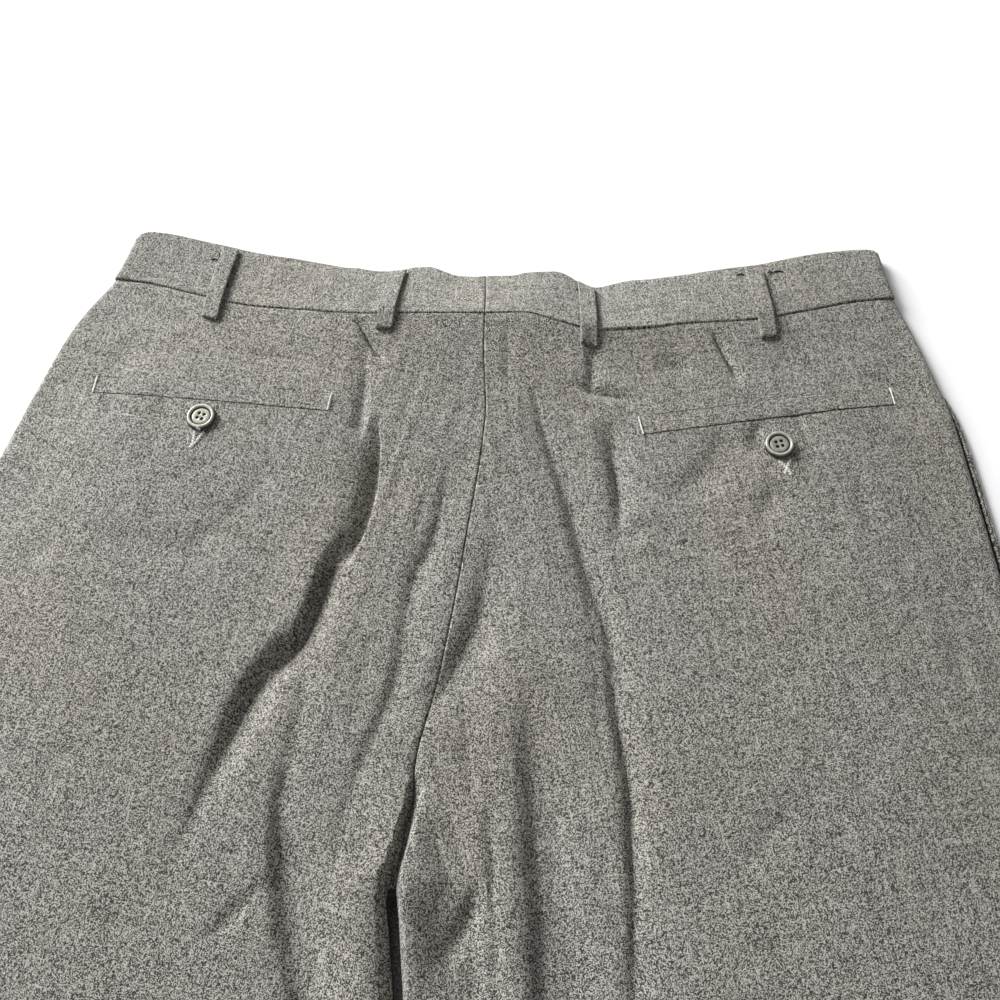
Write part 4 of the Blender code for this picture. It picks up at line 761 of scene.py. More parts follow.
@dataclass
class BodyForm:
    """The shape that the whole back of the garment follows, with its guide lines, waistline and folds."""

    waist: dict[str, SmoothCurve] = field(default_factory=dict)
    body: dict[str, SmoothCurve] = field(default_factory=dict)
    lines: dict[Side, dict[str, SmoothCurve]] = field(default_factory=dict)

    def __post_init__(self) -> None:
        """Fits the curves through the tables."""
        for number, name in enumerate(("rise", "seam_z", "top_y", "top_z"), 1):
            self.waist[name] = SmoothCurve(WAISTLINE, number)
        for number, name in enumerate(("curve", "plateau", "hump", "open_crotch", "inner_dive"), 1):
            self.body[name] = SmoothCurve(BODY_ROWS, number)
        for side, table in ((Side.LEFT, LEFT_LINES), (Side.RIGHT, RIGHT_LINES)):
            names = LINE_NAMES[side]
            self.lines[side] = {name: SmoothCurve(table, i + 1) for i, name in enumerate(names)}
        self.overhang = SmoothCurve(RIGHT_OVERHANG, 1)
        self.top_waves = SmoothCurve(TOP_WAVES, 1)
        self.inner_shift = {side: SmoothCurve(INNER_EDGES, 1 + i) for i, side in enumerate(Side)}
        self.inner_radius = {side: SmoothCurve(INNER_EDGES, 3 + i) for i, side in enumerate(Side)}

    def line(self, side: Side, name: str, y: Grid | float) -> Grid:
        """Gives x of a guide line at y."""
        x = self.lines[side][name].at(y)
        return x + self.inner_shift[side].at(y) if name == "inner" else x

    def side_of(self, x: float, y: float) -> Side:
        """Gives the half of the garment that a point lies on."""
        return Side.LEFT if x < self.line(Side.LEFT, "inner", y) else Side.RIGHT

    def seam_y(self, u: Grid | float) -> Grid:
        """Gives y of the waist seam at u."""
        return WAIST_SEAM_Y + self.waist["rise"].at(u)

    def top_y(self, u: Grid | float) -> Grid:
        """Gives y of the waistband's top edge at u."""
        return self.waist["top_y"].at(u) + self.top_waves.at(u)

    def seam_width(self, side: Side) -> float:
        """Gives how far the side seam lies from the seat seam at the waist."""
        side_x = self.line(side, "side", self.seam_y(side))
        return float(abs(side_x - self.line(side, "inner", WAIST_SEAM_Y)))

    def across(self, side: Side, x: Grid, y: Grid) -> Grid:
        """Gives u at a point, by its distance from the seat seam as a part of the waist seam's width."""
        return (x - self.line(side, "inner", y)) / self.seam_width(side)

    def guide_x(self, side: Side, name: str, y: Grid) -> Grid:
        """Gives x of a guide line, with the panel's own edges kept in by their rounding.

        Args:
            side: Which half.
            name: The line.
            y: Places along it.

        Returns:
            x at each place.
        """
        if name == "side":
            return self.line(side, "side", y) - side * EDGE_ROUNDING
        if name == "inner":
            return self.line(side, "inner", y) + side * (HALF_SEAM + self.inner_rounding(side, y))
        return self.line(side, name, y)

    def column_x(self, side: Side, column: Column, y: Grid) -> Grid:
        """Gives x of a column of points.

        Args:
            side: Which half.
            column: The column.
            y: Places along it.

        Returns:
            x at each place.
        """
        if column.start == column.end == "side":
            return self.line(side, "side", y) - side * EDGE_ROUNDING * column.part
        if column.start == column.end:
            reach = self.inner_rounding(side, y) * column.part
            return self.line(side, "inner", y) + side * (HALF_SEAM + reach)
        start = self.guide_x(side, column.start, y)
        return start + (self.guide_x(side, column.end, y) - start) * column.part

    def inner_rounding(self, side: Side, y: Grid) -> Grid:
        """Gives the radius over which the cloth rounds down to the seat seam or inseam."""
        return self.inner_radius[side].at(y)

    def row_points(self, side: Side, row_y: Grid, columns: list[Column]) -> tuple[Grid, Grid]:
        """Finds where the curved rows cross the columns.

        Args:
            side: Which half.
            row_y: Each row's y at the seat seam.
            columns: The columns.

        Returns:
            x and y of every crossing, one line for each row.
        """
        xs = []
        ys = []
        for column in columns:
            y = row_y.copy()
            for _ in range(7):
                u = self.across(side, self.column_x(side, column, y), y)
                y = row_y + self.body["curve"].at(row_y) * self.waist["rise"].at(u)
            xs.append(self.column_x(side, column, y))
            ys.append(y)
        return np.array(xs).T, np.array(ys).T

    def creases(self, x: Grid, y: Grid) -> Grid:
        """Gives how far the creases lower the cloth."""
        return sum((crease.depth(x, y) for crease in CREASES), np.zeros_like(x))

    def rumple(self, side: Side, x: Grid, y: Grid) -> Grid:
        """Gives the slight unevenness of cloth that has been worn and pressed.

        Args:
            side: Which half.
            x: Places across.
            y: Places along.

        Returns:
            Heights to add.
        """
        across, along = GRAIN[side].threads(x, y)
        bumps = 0.32 * lattice_noise(x, y, 34.0, 52.0, 3)
        bumps += 0.16 * lattice_noise(across, along, 13.0, 44.0, 5)
        bumps += 0.07 * lattice_noise(across, along, 36.0, 7.0, 9)
        from_seat = np.abs(x - 8.0)
        seat = smooth((120.0 - from_seat) / 50.0) * smooth((y - 235.0) / 90.0)
        bumps += (0.06 + 0.22 * seat) * lattice_noise(across, along, 4.2, 46.0, 8)
        bumps += 0.10 * seat * lattice_noise(across, along, 2.6, 24.0, 13)
        return bumps

    def side_rim(self, y: Grid) -> Grid:
        """Gives how high the back panel's side edge ends.

        Args:
            y: Places along it.

        Returns:
            Heights, which the front panel lifts along the pocket mouth.
        """
        below, above = MOUTH_TOP_Y - y, y - MOUTH_TOP_Y + MOUTH_LENGTH
        mouth = smooth(below / MOUTH_BLEND + 1.0) * smooth(above / MOUTH_BLEND + 1.0)
        return self.inner_rim(y) + (MOUTH_RIM_Z - RIM_Z) * mouth

    def inner_rim(self, y: Grid) -> Grid:
        """Gives how high the back panel's inseam edge ends."""
        hem = 1.0 - smooth((y - HEM_Y - HEM_TURN_UP) / HEM_STEP)
        return RIM_Z + (HEM_RIM_Z - RIM_Z) * hem

    def height(self, side: Side, x: Grid, y: Grid, with_seams: bool = True) -> Grid:
        """Gives the height of the back panel's outer face.

        Args:
            side: Which half.
            x: Places across.
            y: Places along.
            with_seams: Whether the edges dip into the seams.

        Returns:
            Height in millimetres.
        """
        from_side = side * (self.line(side, "side", y) - x)
        from_inner = np.maximum(side * (x - self.line(side, "inner", y)) - HALF_SEAM, 0.0)
        u = self.across(side, x, y)
        open_crotch = self.body["open_crotch"].at(y)
        fullness = smooth(from_side / SIDE_RAMP + SIDE_FULLNESS)
        fullness = fullness * (1.0 - open_crotch * (1.0 - smooth(from_inner / INSEAM_RAMP + INSEAM_FULLNESS)))
        top = EDGE_Z + (self.body["plateau"].at(y) - EDGE_Z) * fullness
        waist_top = EDGE_Z + (float(self.body["plateau"].at(WAIST_SEAM_Y)) - EDGE_Z) * fullness
        top = top + self.body["hump"].at(y) * (self.waist["seam_z"].at(u) - waist_top)
        top = top - self.creases(x, y)
        calm = smooth(from_side / 25.0) * smooth((y - HEM_Y) / 60.0)
        top = top + self.rumple(side, x, y) * calm * (1.0 - smooth((y - WAIST_SEAM_Y + 22.0) / 20.0))
        hem = 1.0 - smooth((y - HEM_Y - HEM_TURN_UP - HEM_STEP) / HEM_BLEND)
        lowest = LOWEST_TOP_Z + (HEM_RIM_Z + HEM_CLOTH - LOWEST_TOP_Z) * hem
        top = lowest + np.log1p(np.exp(2.0 * (top - lowest))) / 2.0
        if with_seams:
            drop = np.maximum((top - self.inner_rim(y)) * self.body["inner_dive"].at(y), SEAM_DIP)
            top = rounded_off(top, top - drop, from_inner, self.inner_rounding(side, y))
        return rounded_off(top, self.side_rim(y), np.maximum(from_side, 0.0), EDGE_ROUNDING)

    def point(self, x: float, y: float) -> Vector:
        """Gives the point of the outer face over a place, in millimetres."""
        z = self.height(self.side_of(x, y), np.array([x]), np.array([y]), with_seams=False)[0]
        return Vector((x, y, float(z)))

    def normal(self, x: float, y: float, reach: float = 2.0) -> Vector:
        """Gives the outer face's normal over a place.

        Args:
            x: The place across.
            y: The place along.
            reach: How far to each side it's taken.

        Returns:
            The unit normal.
        """
        run_x = self.point(x + reach, y) - self.point(x - reach, y)
        run_y = self.point(x, y + reach) - self.point(x, y - reach)
        return run_x.cross(run_y).normalized()


def rounding(part: Grid) -> Grid:
    """Gives the rise of a quarter of a circle, from 0 at the edge to 1 at its radius and past it."""
    return np.sqrt(np.clip(1.0 - (1.0 - np.clip(part, 0.0, 1.0)) ** 2, 0.0, 1.0))


def rounded_off(top: Grid, rim: Grid, distance: Grid, radius: Grid | float) -> Grid:
    """Rounds a height down to a rim, over a radius from the edge."""
    return rim + (top - rim) * rounding(distance / radius)


FORM = BodyForm()


# Shared shader effects


class Wiring:
    """Adds and joins the nodes of one tree."""

    def __init__(self, tree: bpy.types.NodeTree) -> None:
        """Keeps the tree to work on."""
        self.tree = tree

    def node(self, kind: str, inputs: Inputs | None = None, **settings: object) -> bpy.types.Node:
        """Adds a node.

        Args:
            kind: The node's type.
            inputs: A value or a socket for each input that it names.
            **settings: Its properties.

        Returns:
            The node.
        """
        made = self.tree.nodes.new(kind)
        for name, value in settings.items():
            setattr(made, name, value)
        self.feed(made, inputs or {})
        return made

    def feed(self, target: bpy.types.Node, inputs: Inputs) -> None:
        """Sets a node's inputs, or joins sockets to them.

        Args:
            target: The node.
            inputs: A value or a socket for each input that it names.
        """
        for name, value in inputs.items():
            if isinstance(value, Socket):
                self.tree.links.new(value, target.inputs[name])
            else:
                target.inputs[name].default_value = value

    def math(self, operation: str, *values: object) -> Socket:
        """Works numbers or sockets out with a Math node."""
        return self.node("ShaderNodeMath", dict(enumerate(values)), operation=operation).outputs[0]

    def centred(self, value: Socket) -> Socket:
        """Takes a half from a value, so that it lies about zero."""
        return self.math("SUBTRACT", value, 0.5)

    def rare(self, value: Socket, low: float, high: float) -> Socket:
        """Keeps only the peaks of a value, which start at low and are full at high."""
        inputs = {"Value": value, "From Min": low, "From Max": high}
        return self.node("ShaderNodeMapRange", inputs, interpolation_type="SMOOTHSTEP").outputs["Result"]

    def along_thread(self, way: Socket, thread: Socket, length: float, stagger: float) -> Socket:
        """Numbers the lengths of fibre along a thread, which start at another place on each thread.

        Args:
            way: How far along the thread.
            thread: The thread's number.
            length: How long each length is, in millimetres.
            stagger: How far one thread's lengths start from the next one's, as a part of a length.

        Returns:
            The length's number.
        """
        start = self.math("MULTIPLY", thread, stagger)
        return self.math("FLOOR", self.math("MULTIPLY_ADD", way, 1.0 / length, start))

    def cell(self, column: Socket, row: Socket, layer: float) -> Socket:
        """Gives a random value from 0 to 1 for each column and row, which is another one in each layer."""
        place = self.node("ShaderNodeCombineXYZ", {"X": column, "Y": row, "Z": layer}).outputs["Vector"]
        return self.node("ShaderNodeTexWhiteNoise", {"Vector": place}, noise_dimensions="3D").outputs["Value"]

    def noise(self, vector: Socket, stretch: Point, detail: float) -> Socket:
        """Adds a noise.

        Args:
            vector: The place, in millimetres.
            stretch: The size of its bumps, in millimetres.
            detail: How much finer noise lies on it.

        Returns:
            Its value.
        """
        scale = tuple(1.0 / size for size in stretch)
        place = self.node("ShaderNodeMapping", {"Scale": scale, "Vector": vector}, vector_type="POINT")
        inputs = {"Scale": 1.0, "Detail": detail, "Roughness": 0.55, "Lacunarity": 2.1}
        inputs["Vector"] = place.outputs["Vector"]
        return self.node("ShaderNodeTexNoise", inputs, noise_dimensions="3D").outputs["Fac"]

    def in_mm(self, source: str) -> Socket:
        """Gives the place on a piece in millimetres, from "Object", or from "UV" for the piece's own map."""
        inputs = {"Scale": (1.0 / MM,) * 3, "Vector": self.node("ShaderNodeTexCoord").outputs[source]}
        return self.node("ShaderNodeMapping", inputs, vector_type="POINT").outputs["Vector"]

    def ramp(self, value: Socket, *stops: tuple[float, Point]) -> Socket:
        """Turns a value into a colour.

        Args:
            value: The value, from 0 to 1.
            *stops: Values, each with its colour.

        Returns:
            The colour.
        """
        made = self.node("ShaderNodeValToRGB", {"Fac": value})
        marks = made.color_ramp.elements
        for number, (place, colour) in enumerate(stops):
            mark = marks[number] if number < 2 else marks.new(place)
            mark.position = place
            mark.color = (*colour, 1.0)
        return made.outputs["Color"]

    def multiplied(self, one: Socket, other: Socket) -> Socket:
        """Multiplies two colours."""
        inputs = {"Factor": 1.0, "A": one, "B": other}
        return self.node("ShaderNodeMix", inputs, data_type="RGBA", blend_type="MULTIPLY").outputs["Result"]

    def bump(self, height: Socket, distance: float) -> Socket:
        """Gives the normal of a surface that a height of 1 raises by a distance in millimetres."""
        return self.node("ShaderNodeBump", {"Distance": distance * MM, "Height": height}).outputs["Normal"]


def weave_group() -> bpy.types.NodeTree:
    """Gives the heathered plain weave, made once.

    Returns:
        A group that takes a place in millimetres, and puts out how light the fleck is there, the height of the
        threads, a slow mottle and a slow tint.
    """
    found = bpy.data.node_groups.get("heathered plain weave")
    if found:
        return found
    group = bpy.data.node_groups.new("heathered plain weave", "ShaderNodeTree")
    for name, kind in (("Place", "Vector"), ("Grain", "Float")):
        group.interface.new_socket(name=name, in_out="INPUT", socket_type=f"NodeSocket{kind}")
    for name in ("Fleck", "Threads", "Mottle", "Tint"):
        group.interface.new_socket(name=name, in_out="OUTPUT", socket_type="NodeSocketFloat")
    wiring = Wiring(group)
    inside = wiring.node("NodeGroupInput")
    place = inside.outputs["Place"]
    split = wiring.node("ShaderNodeSeparateXYZ", {"Vector": place})
    across, along = split.outputs["X"], split.outputs["Y"]
    wander = wiring.centred(wiring.noise(place, (14.0, 14.0, 14.0), 0.0))
    column = wiring.math("FLOOR", wiring.math("MULTIPLY_ADD", across, 1.0 / THREAD_PITCH, wander))
    row = wiring.math("FLOOR", wiring.math("MULTIPLY_ADD", along, 1.0 / THREAD_PITCH, wander))
    crossing = wiring.centred(wiring.cell(column, row, 0.5))
    warp_bit = wiring.cell(column, wiring.along_thread(along, column, 0.9, 0.37), 3.5)
    weft_bit = wiring.cell(wiring.along_thread(across, row, 0.9, 0.61), row, 7.5)
    on_top = wiring.math("FLOORED_MODULO", wiring.math("ADD", column, row), 2.0)
    turn = wiring.math("SUBTRACT", weft_bit, warp_bit)
    thread = wiring.centred(wiring.math("MULTIPLY_ADD", turn, on_top, warp_bit))
    clump = wiring.centred(wiring.noise(place, (1.7, 1.7, 1.7), 1.0))
    warp = wiring.centred(wiring.noise(place, (0.55, 5.0, 5.0), 1.0))
    weft = wiring.centred(wiring.noise(place, (5.0, 0.55, 5.0), 1.0))
    slubs = [
        wiring.rare(wiring.cell(column, wiring.along_thread(along, column, 5.5, 0.73), 11.5), 0.955, 0.99),
        wiring.rare(wiring.cell(wiring.along_thread(across, row, 6.5, 0.41), row, 13.5), 0.975, 0.995),
    ]
    bands = [wiring.centred(wiring.noise(place, size, 1.0)) for size in ((2.4, 46.0, 46.0), (46.0, 2.4, 46.0))]
    fine = wiring.math("ADD", wiring.math("MULTIPLY", crossing, 1.3), wiring.math("MULTIPLY", thread, 0.35))
    fine = wiring.math("MULTIPLY", fine, inside.outputs["Grain"])
    streaks = wiring.math("ADD", wiring.math("MULTIPLY", warp, 0.20), wiring.math("MULTIPLY", weft, 0.10))
    streaks = wiring.math("ADD", streaks, wiring.math("MULTIPLY", wiring.math("ADD", *slubs), 0.42))
    streaks = wiring.math("ADD", streaks, wiring.math("MULTIPLY", wiring.math("ADD", *bands), 0.34))
    given = {
        "Fleck": wiring.math("ADD", 0.5, wiring.math("ADD", fine, streaks)),
        "Threads": wiring.math("ADD", wiring.math("ADD", warp, weft), clump),
        "Mottle": wiring.noise(place, (9.0, 11.0, 11.0), 3.0),
        "Tint": wiring.noise(place, (80.0, 100.0, 100.0), 2.0),
    }
    wiring.node("NodeGroupOutput", given)
    return group


@dataclass(frozen=True)
class Finish:
    """What a piece is made of: a named material that is made once, and a slot name, which is not used."""

    name: str
    slot: str

    def look(self, wiring: Wiring) -> Inputs:
        """Gives what feeds the inputs of the material's shader."""
        raise NotImplementedError

    def material(self) -> bpy.types.Material:
        """Gives this finish's material.

        Returns:
            The material, made at the first call.
        """
        made = bpy.data.materials.get(self.name)
        if made is None:
            made = bpy.data.materials.new(self.name)
            made.use_nodes = True
            wiring = Wiring(made.node_tree)
            wiring.feed(made.node_tree.nodes["Principled BSDF"], self.look(wiring))
        return made


@dataclass(frozen=True)
class ClothFinish(Finish):
    """Heathered suiting: dark, middle and light fibres, and how strongly its threads show."""

    dark: Point
    middle: Point
    light: Point
    follow: Follow = Follow.CLOTH
    grain: float = 1.0
    relief: float = 0.02
    roughness: float = 0.88
    sheen: float = 0.12

    def look(self, wiring: Wiring) -> Inputs:
        """Lays the weave's flecks, a slow mottle and a slow tint over each other.

        Args:
            wiring: The material's tree.

        Returns:
            What feeds its shader.
        """
        place = wiring.in_mm("UV" if self.follow is Follow.CLOTH else "Object")
        weave = wiring.node("ShaderNodeGroup", {"Place": place, "Grain": self.grain}, node_tree=weave_group()).outputs
        fleck = wiring.ramp(weave["Fleck"], (0.16, self.dark), (0.86, self.light), (0.50, self.middle))
        tint = wiring.ramp(weave["Tint"], (0.36, (0.975, 0.992, 1.0)), (0.64, (1.0, 0.985, 0.955)))
        cloud = wiring.ramp(weave["Mottle"], (0.30, (0.90, 0.90, 0.90)), (0.70, (1.0, 1.0, 1.0)))
        return {
            "Base Color": wiring.multiplied(wiring.multiplied(fleck, tint), cloud),
            "Normal": wiring.bump(weave["Threads"], self.relief),
            "Roughness": self.roughness,
            "Specular IOR Level": 0.25,
            "Sheen Weight": self.sheen,
            "Sheen Roughness": 0.5,
        }


@dataclass(frozen=True)
class ThreadFinish(Finish):
    """Sewing thread with its twist."""

    colour: Point

    def look(self, wiring: Wiring) -> Inputs:
        """Shades and raises the plies.

        Args:
            wiring: The material's tree.

        Returns:
            What feeds its shader.
        """
        ply = wiring.noise(wiring.in_mm("Object"), (0.35, 0.35, 0.35), 1.0)
        shade = tuple(0.6 * part for part in self.colour)
        colour = wiring.ramp(ply, (0.35, shade), (0.6, self.colour))
        return {"Base Color": colour, "Normal": wiring.bump(ply, 0.05), "Roughness": 0.6}


@dataclass(frozen=True)
class ButtonFinish(Finish):
    """Horn-like resin with soft streaks, turned on a lathe: a pale ring, and a dark groove and dark edge, which are
    partly the horn's own darker colour and partly painted shade.
    """

    ring: Point
    middle: Point
    # The dark colour of the groove and the edge: partly the horn's own, partly painted shade and shadow.
    edge: Point
    roughness: float = 0.28
    reach: float = 1.1

    def look(self, wiring: Wiring) -> Inputs:
        """Lays the streaks over the rings, whose dark groove and edge are partly painted shade, and wears the gloss.

        Args:
            wiring: The material's tree.

        Returns:
            What feeds its shader.
        """
        # The edge colour paints the groove's shade and the shadow round the rim, over the horn's own darker edge.
        stops = (
            # part of the radius, colour
            (0.00, self.middle),
            (0.58, self.middle),
            (0.64, self.ring),
            (0.675, self.edge),
            (0.735, self.edge),
            (0.775, self.ring),
            (0.93, self.ring),
            (0.975, self.middle),
            (1.0, self.edge),
        )
        turned = wiring.node("ShaderNodeSeparateXYZ", {"Vector": wiring.node("ShaderNodeTexCoord").outputs["UV"]})
        radius = wiring.math("DIVIDE", turned.outputs["X"], self.reach)
        rings = wiring.ramp(radius, *((part / self.reach, colour) for part, colour in stops))
        place = wiring.in_mm("Object")
        streak = wiring.noise(place, (1.4, 4.0, 4.0), 3.0)
        streaks = wiring.ramp(streak, (0.36, (0.72, 0.71, 0.68)), (0.62, (1.0, 1.0, 1.0)))
        wear = {"Value": wiring.noise(place, (0.4, 0.4, 0.4), 2.0), "From Min": 0.3, "From Max": 0.7}
        wear.update({"To Min": self.roughness - 0.05, "To Max": self.roughness + 0.12})
        return {
            "Base Color": wiring.multiplied(rings, streaks),
            "Roughness": wiring.node("ShaderNodeMapRange", wear).outputs["Result"],
            "Coat Weight": 0.25,
            "Coat Roughness": 0.2,
        }


@dataclass(frozen=True)
class FloorFinish(Finish):
    """The pale surface that the trousers lie on."""

    colour: Point

    def look(self, wiring: Wiring) -> Inputs:
        """Makes the surface plain and matt."""
        return {"Base Color": (*self.colour, 1.0), "Roughness": 0.9, "Specular IOR Level": 0.1}


FLECK_DARK: Point = (0.034, 0.032, 0.027)
FLECK_LIGHT: Point = (0.480, 0.464, 0.425)
SUITING = ClothFinish("heathered suiting", "cloth", FLECK_DARK, (0.130, 0.123, 0.110), FLECK_LIGHT)
FLAT_SUITING = ClothFinish(
    "heathered suiting, by place", "cloth", FLECK_DARK, (0.137, 0.130, 0.116), FLECK_LIGHT, follow=Follow.PLACE
)
# The band's suiting is a lighter copy of the seat's: painted light, as the band tilts towards the lamp.
BAND_SUITING = ClothFinish(
    "heathered suiting, band with painted light",
    "band",
    (0.044, 0.041, 0.035),
    (0.158, 0.150, 0.134),
    (0.445, 0.430, 0.392),
    grain=0.95,
)
# The loops' suiting is a lighter copy of the seat's: painted light that makes up for their tilt and shade.
TRIM_SUITING = ClothFinish(
    "heathered suiting, loops with painted light",
    "trim",
    (0.040, 0.037, 0.032),
    (0.148, 0.141, 0.126),
    (0.440, 0.425, 0.387),
    grain=0.95,
)
# Near-black copy of the suiting: painted shade for the pocket mouths' gaps and the gap between the legs
SHADED_SUITING = ClothFinish(
    "suiting painted as shade",
    "facing",
    (0.012, 0.011, 0.010),
    (0.028, 0.027, 0.025),
    (0.060, 0.058, 0.054),
    sheen=0.0,
)
ZIP_TAPE = ClothFinish(
    "zip tape",
    "zip",
    (0.020, 0.020, 0.022),
    (0.045, 0.045, 0.048),
    (0.080, 0.080, 0.085),
    follow=Follow.PLACE,
)
WHITE_THREAD = ThreadFinish("white tacking thread", "trim", (0.90, 0.89, 0.85))
DARK_THREAD = ThreadFinish("dark tacking thread", "trim", (0.018, 0.018, 0.020))
# Each button's edge colour is partly painted shade in its groove and round its rim.
HORN = {
    Side.LEFT: ButtonFinish(
        "cream horn resin", "button", (0.64, 0.615, 0.53), (0.47, 0.45, 0.38), (0.035, 0.032, 0.027)
    ),
    Side.RIGHT: ButtonFinish(
        "grey horn resin", "button", (0.46, 0.445, 0.40), (0.30, 0.29, 0.26), (0.030, 0.028, 0.025), 0.2
    ),
}
FLOOR = FloorFinish("pale table", "floor", (0.92, 0.92, 0.92))


# Making meshes


def named(name: str) -> Piece:
    """Names the object that has just been made, and gives it."""
    bpy.context.object.name = name
    return bpy.context.object


def deselect_all() -> None:
    """Leaves object mode with nothing selected."""
    if bpy.context.mode != "OBJECT":
        bpy.ops.object.mode_set(mode="OBJECT")
    bpy.ops.object.select_all(action="DESELECT")


def select_only(piece: Piece) -> None:
    """Selects one object and makes it the active one.

    Args:
        piece: The object.
    """
    deselect_all()
    piece.select_set(True)
    bpy.context.view_layer.objects.active = piece


def dress(piece: Piece, finish: Finish, replaces: tuple[str, ...] = ()) -> Piece:
    """Gives a finished piece its material and its body, and hides the solids that it stands for.

    Args:
        piece: The piece, in place.
        finish: What it is made of.
        replaces: The solids' names.

    Returns:
        The piece.
    """
    piece.data.materials.clear()
    piece.data.materials.append(finish.material())
    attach(piece, "root")
    if replaces:
        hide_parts(*replaces)
    LOG.info("%s: %d faces", piece.name, len(piece.data.polygons))
    return piece


def unit(vectors: Grid) -> Grid:
    """Gives vectors of length 1 that point the same way."""
    return vectors / np.maximum(np.linalg.norm(vectors, axis=2, keepdims=True), 1e-12)


def run_along(points: Grid) -> Grid:
    """Gives how far along a line each of its points lies."""
    return np.concatenate([[0.0], np.cumsum(np.linalg.norm(np.diff(points, axis=0), axis=1))])


def grid_normals(points: Grid) -> Grid:
    """Gives the unit normals of a grid of points whose columns run to the right and rows downwards."""
    return unit(np.cross(np.gradient(points, axis=0), np.gradient(points, axis=1)))


def cloth_shell(name: str, outer: Grid, inner: Grid, threads: Grid) -> Piece:
    """Makes the closed shell of cloth between two grids of points.

    Args:
        name: The piece's name.
        outer: The outer face, in millimetres, as rows, columns and x, y, z.
        inner: The inner face, the same size.
        threads: How far along the weft and the warp each point lies, in millimetres.

    Returns:
        The piece.
    """
    rows, columns = outer.shape[:2]
    count = rows * columns
    points = np.concatenate([outer.reshape(-1, 3), inner.reshape(-1, 3)]) * MM
    index = np.arange(count).reshape(rows, columns)
    front = np.stack([index[:-1, :-1], index[1:, :-1], index[1:, 1:], index[:-1, 1:]], axis=-1).reshape(-1, 4)
    back = front[:, ::-1] + count
    border = np.concatenate([index[0, :-1], index[:-1, -1], index[-1, :0:-1], index[:0:-1, 0]])
    after = np.roll(border, -1)
    rim = np.stack([border, after, after + count, border + count], axis=-1)
    faces = np.concatenate([front, back, rim])
    mesh = bpy.data.meshes.new(name)
    mesh.from_pydata(points.tolist(), [], faces.tolist())
    uv = np.tile(threads.reshape(-1, 2), (2, 1)) * MM
    layer = mesh.uv_layers.new(name="threads")
    layer.data.foreach_set("uv", uv[faces.reshape(-1)].astype(np.float32).ravel())
    piece = bpy.data.objects.new(name, mesh)
    bpy.context.scene.collection.objects.link(piece)
    select_only(piece)
    bpy.ops.object.shade_smooth_by_angle(angle=math.radians(50.0))
    return piece


def strand(name: str, points: list[Vector], radius: float) -> Piece:
    """Makes a strand of thread along points in millimetres.

    Args:
        name: The piece's name.
        points: The way it runs.
        radius: Its radius in millimetres.

    Returns:
        The strand as a mesh.
    """
    deselect_all()
    bpy.ops.curve.primitive_nurbs_path_add(location=(0.0, 0.0, 0.0))
    path = named(name)
    spline = path.data.splines[0]
    if len(points) > len(spline.points):
        spline.points.add(len(points) - len(spline.points))
    extra = len(spline.points) - len(points)
    for place, target in zip(list(points) + [points[-1]] * extra, spline.points):
        target.co = (*(place * MM), 1.0)
        target.radius = 1.0
    spline.order_u = 3
    spline.use_endpoint_u = True
    spline.resolution_u = 4
    path.data.bevel_depth = radius * MM
    path.data.bevel_resolution = 1
    path.data.use_fill_caps = True
    bpy.ops.object.convert(target="MESH")
    bpy.ops.object.shade_smooth()
    return named(name)


def joined(name: str, pieces: list[Piece]) -> Piece:
    """Joins meshes into one piece.

    Args:
        name: The piece's name.
        pieces: The meshes.

    Returns:
        The piece.
    """
    select_only(pieces[0])
    for piece in pieces[1:]:
        piece.select_set(True)
    bpy.ops.object.join()
    return named(name)


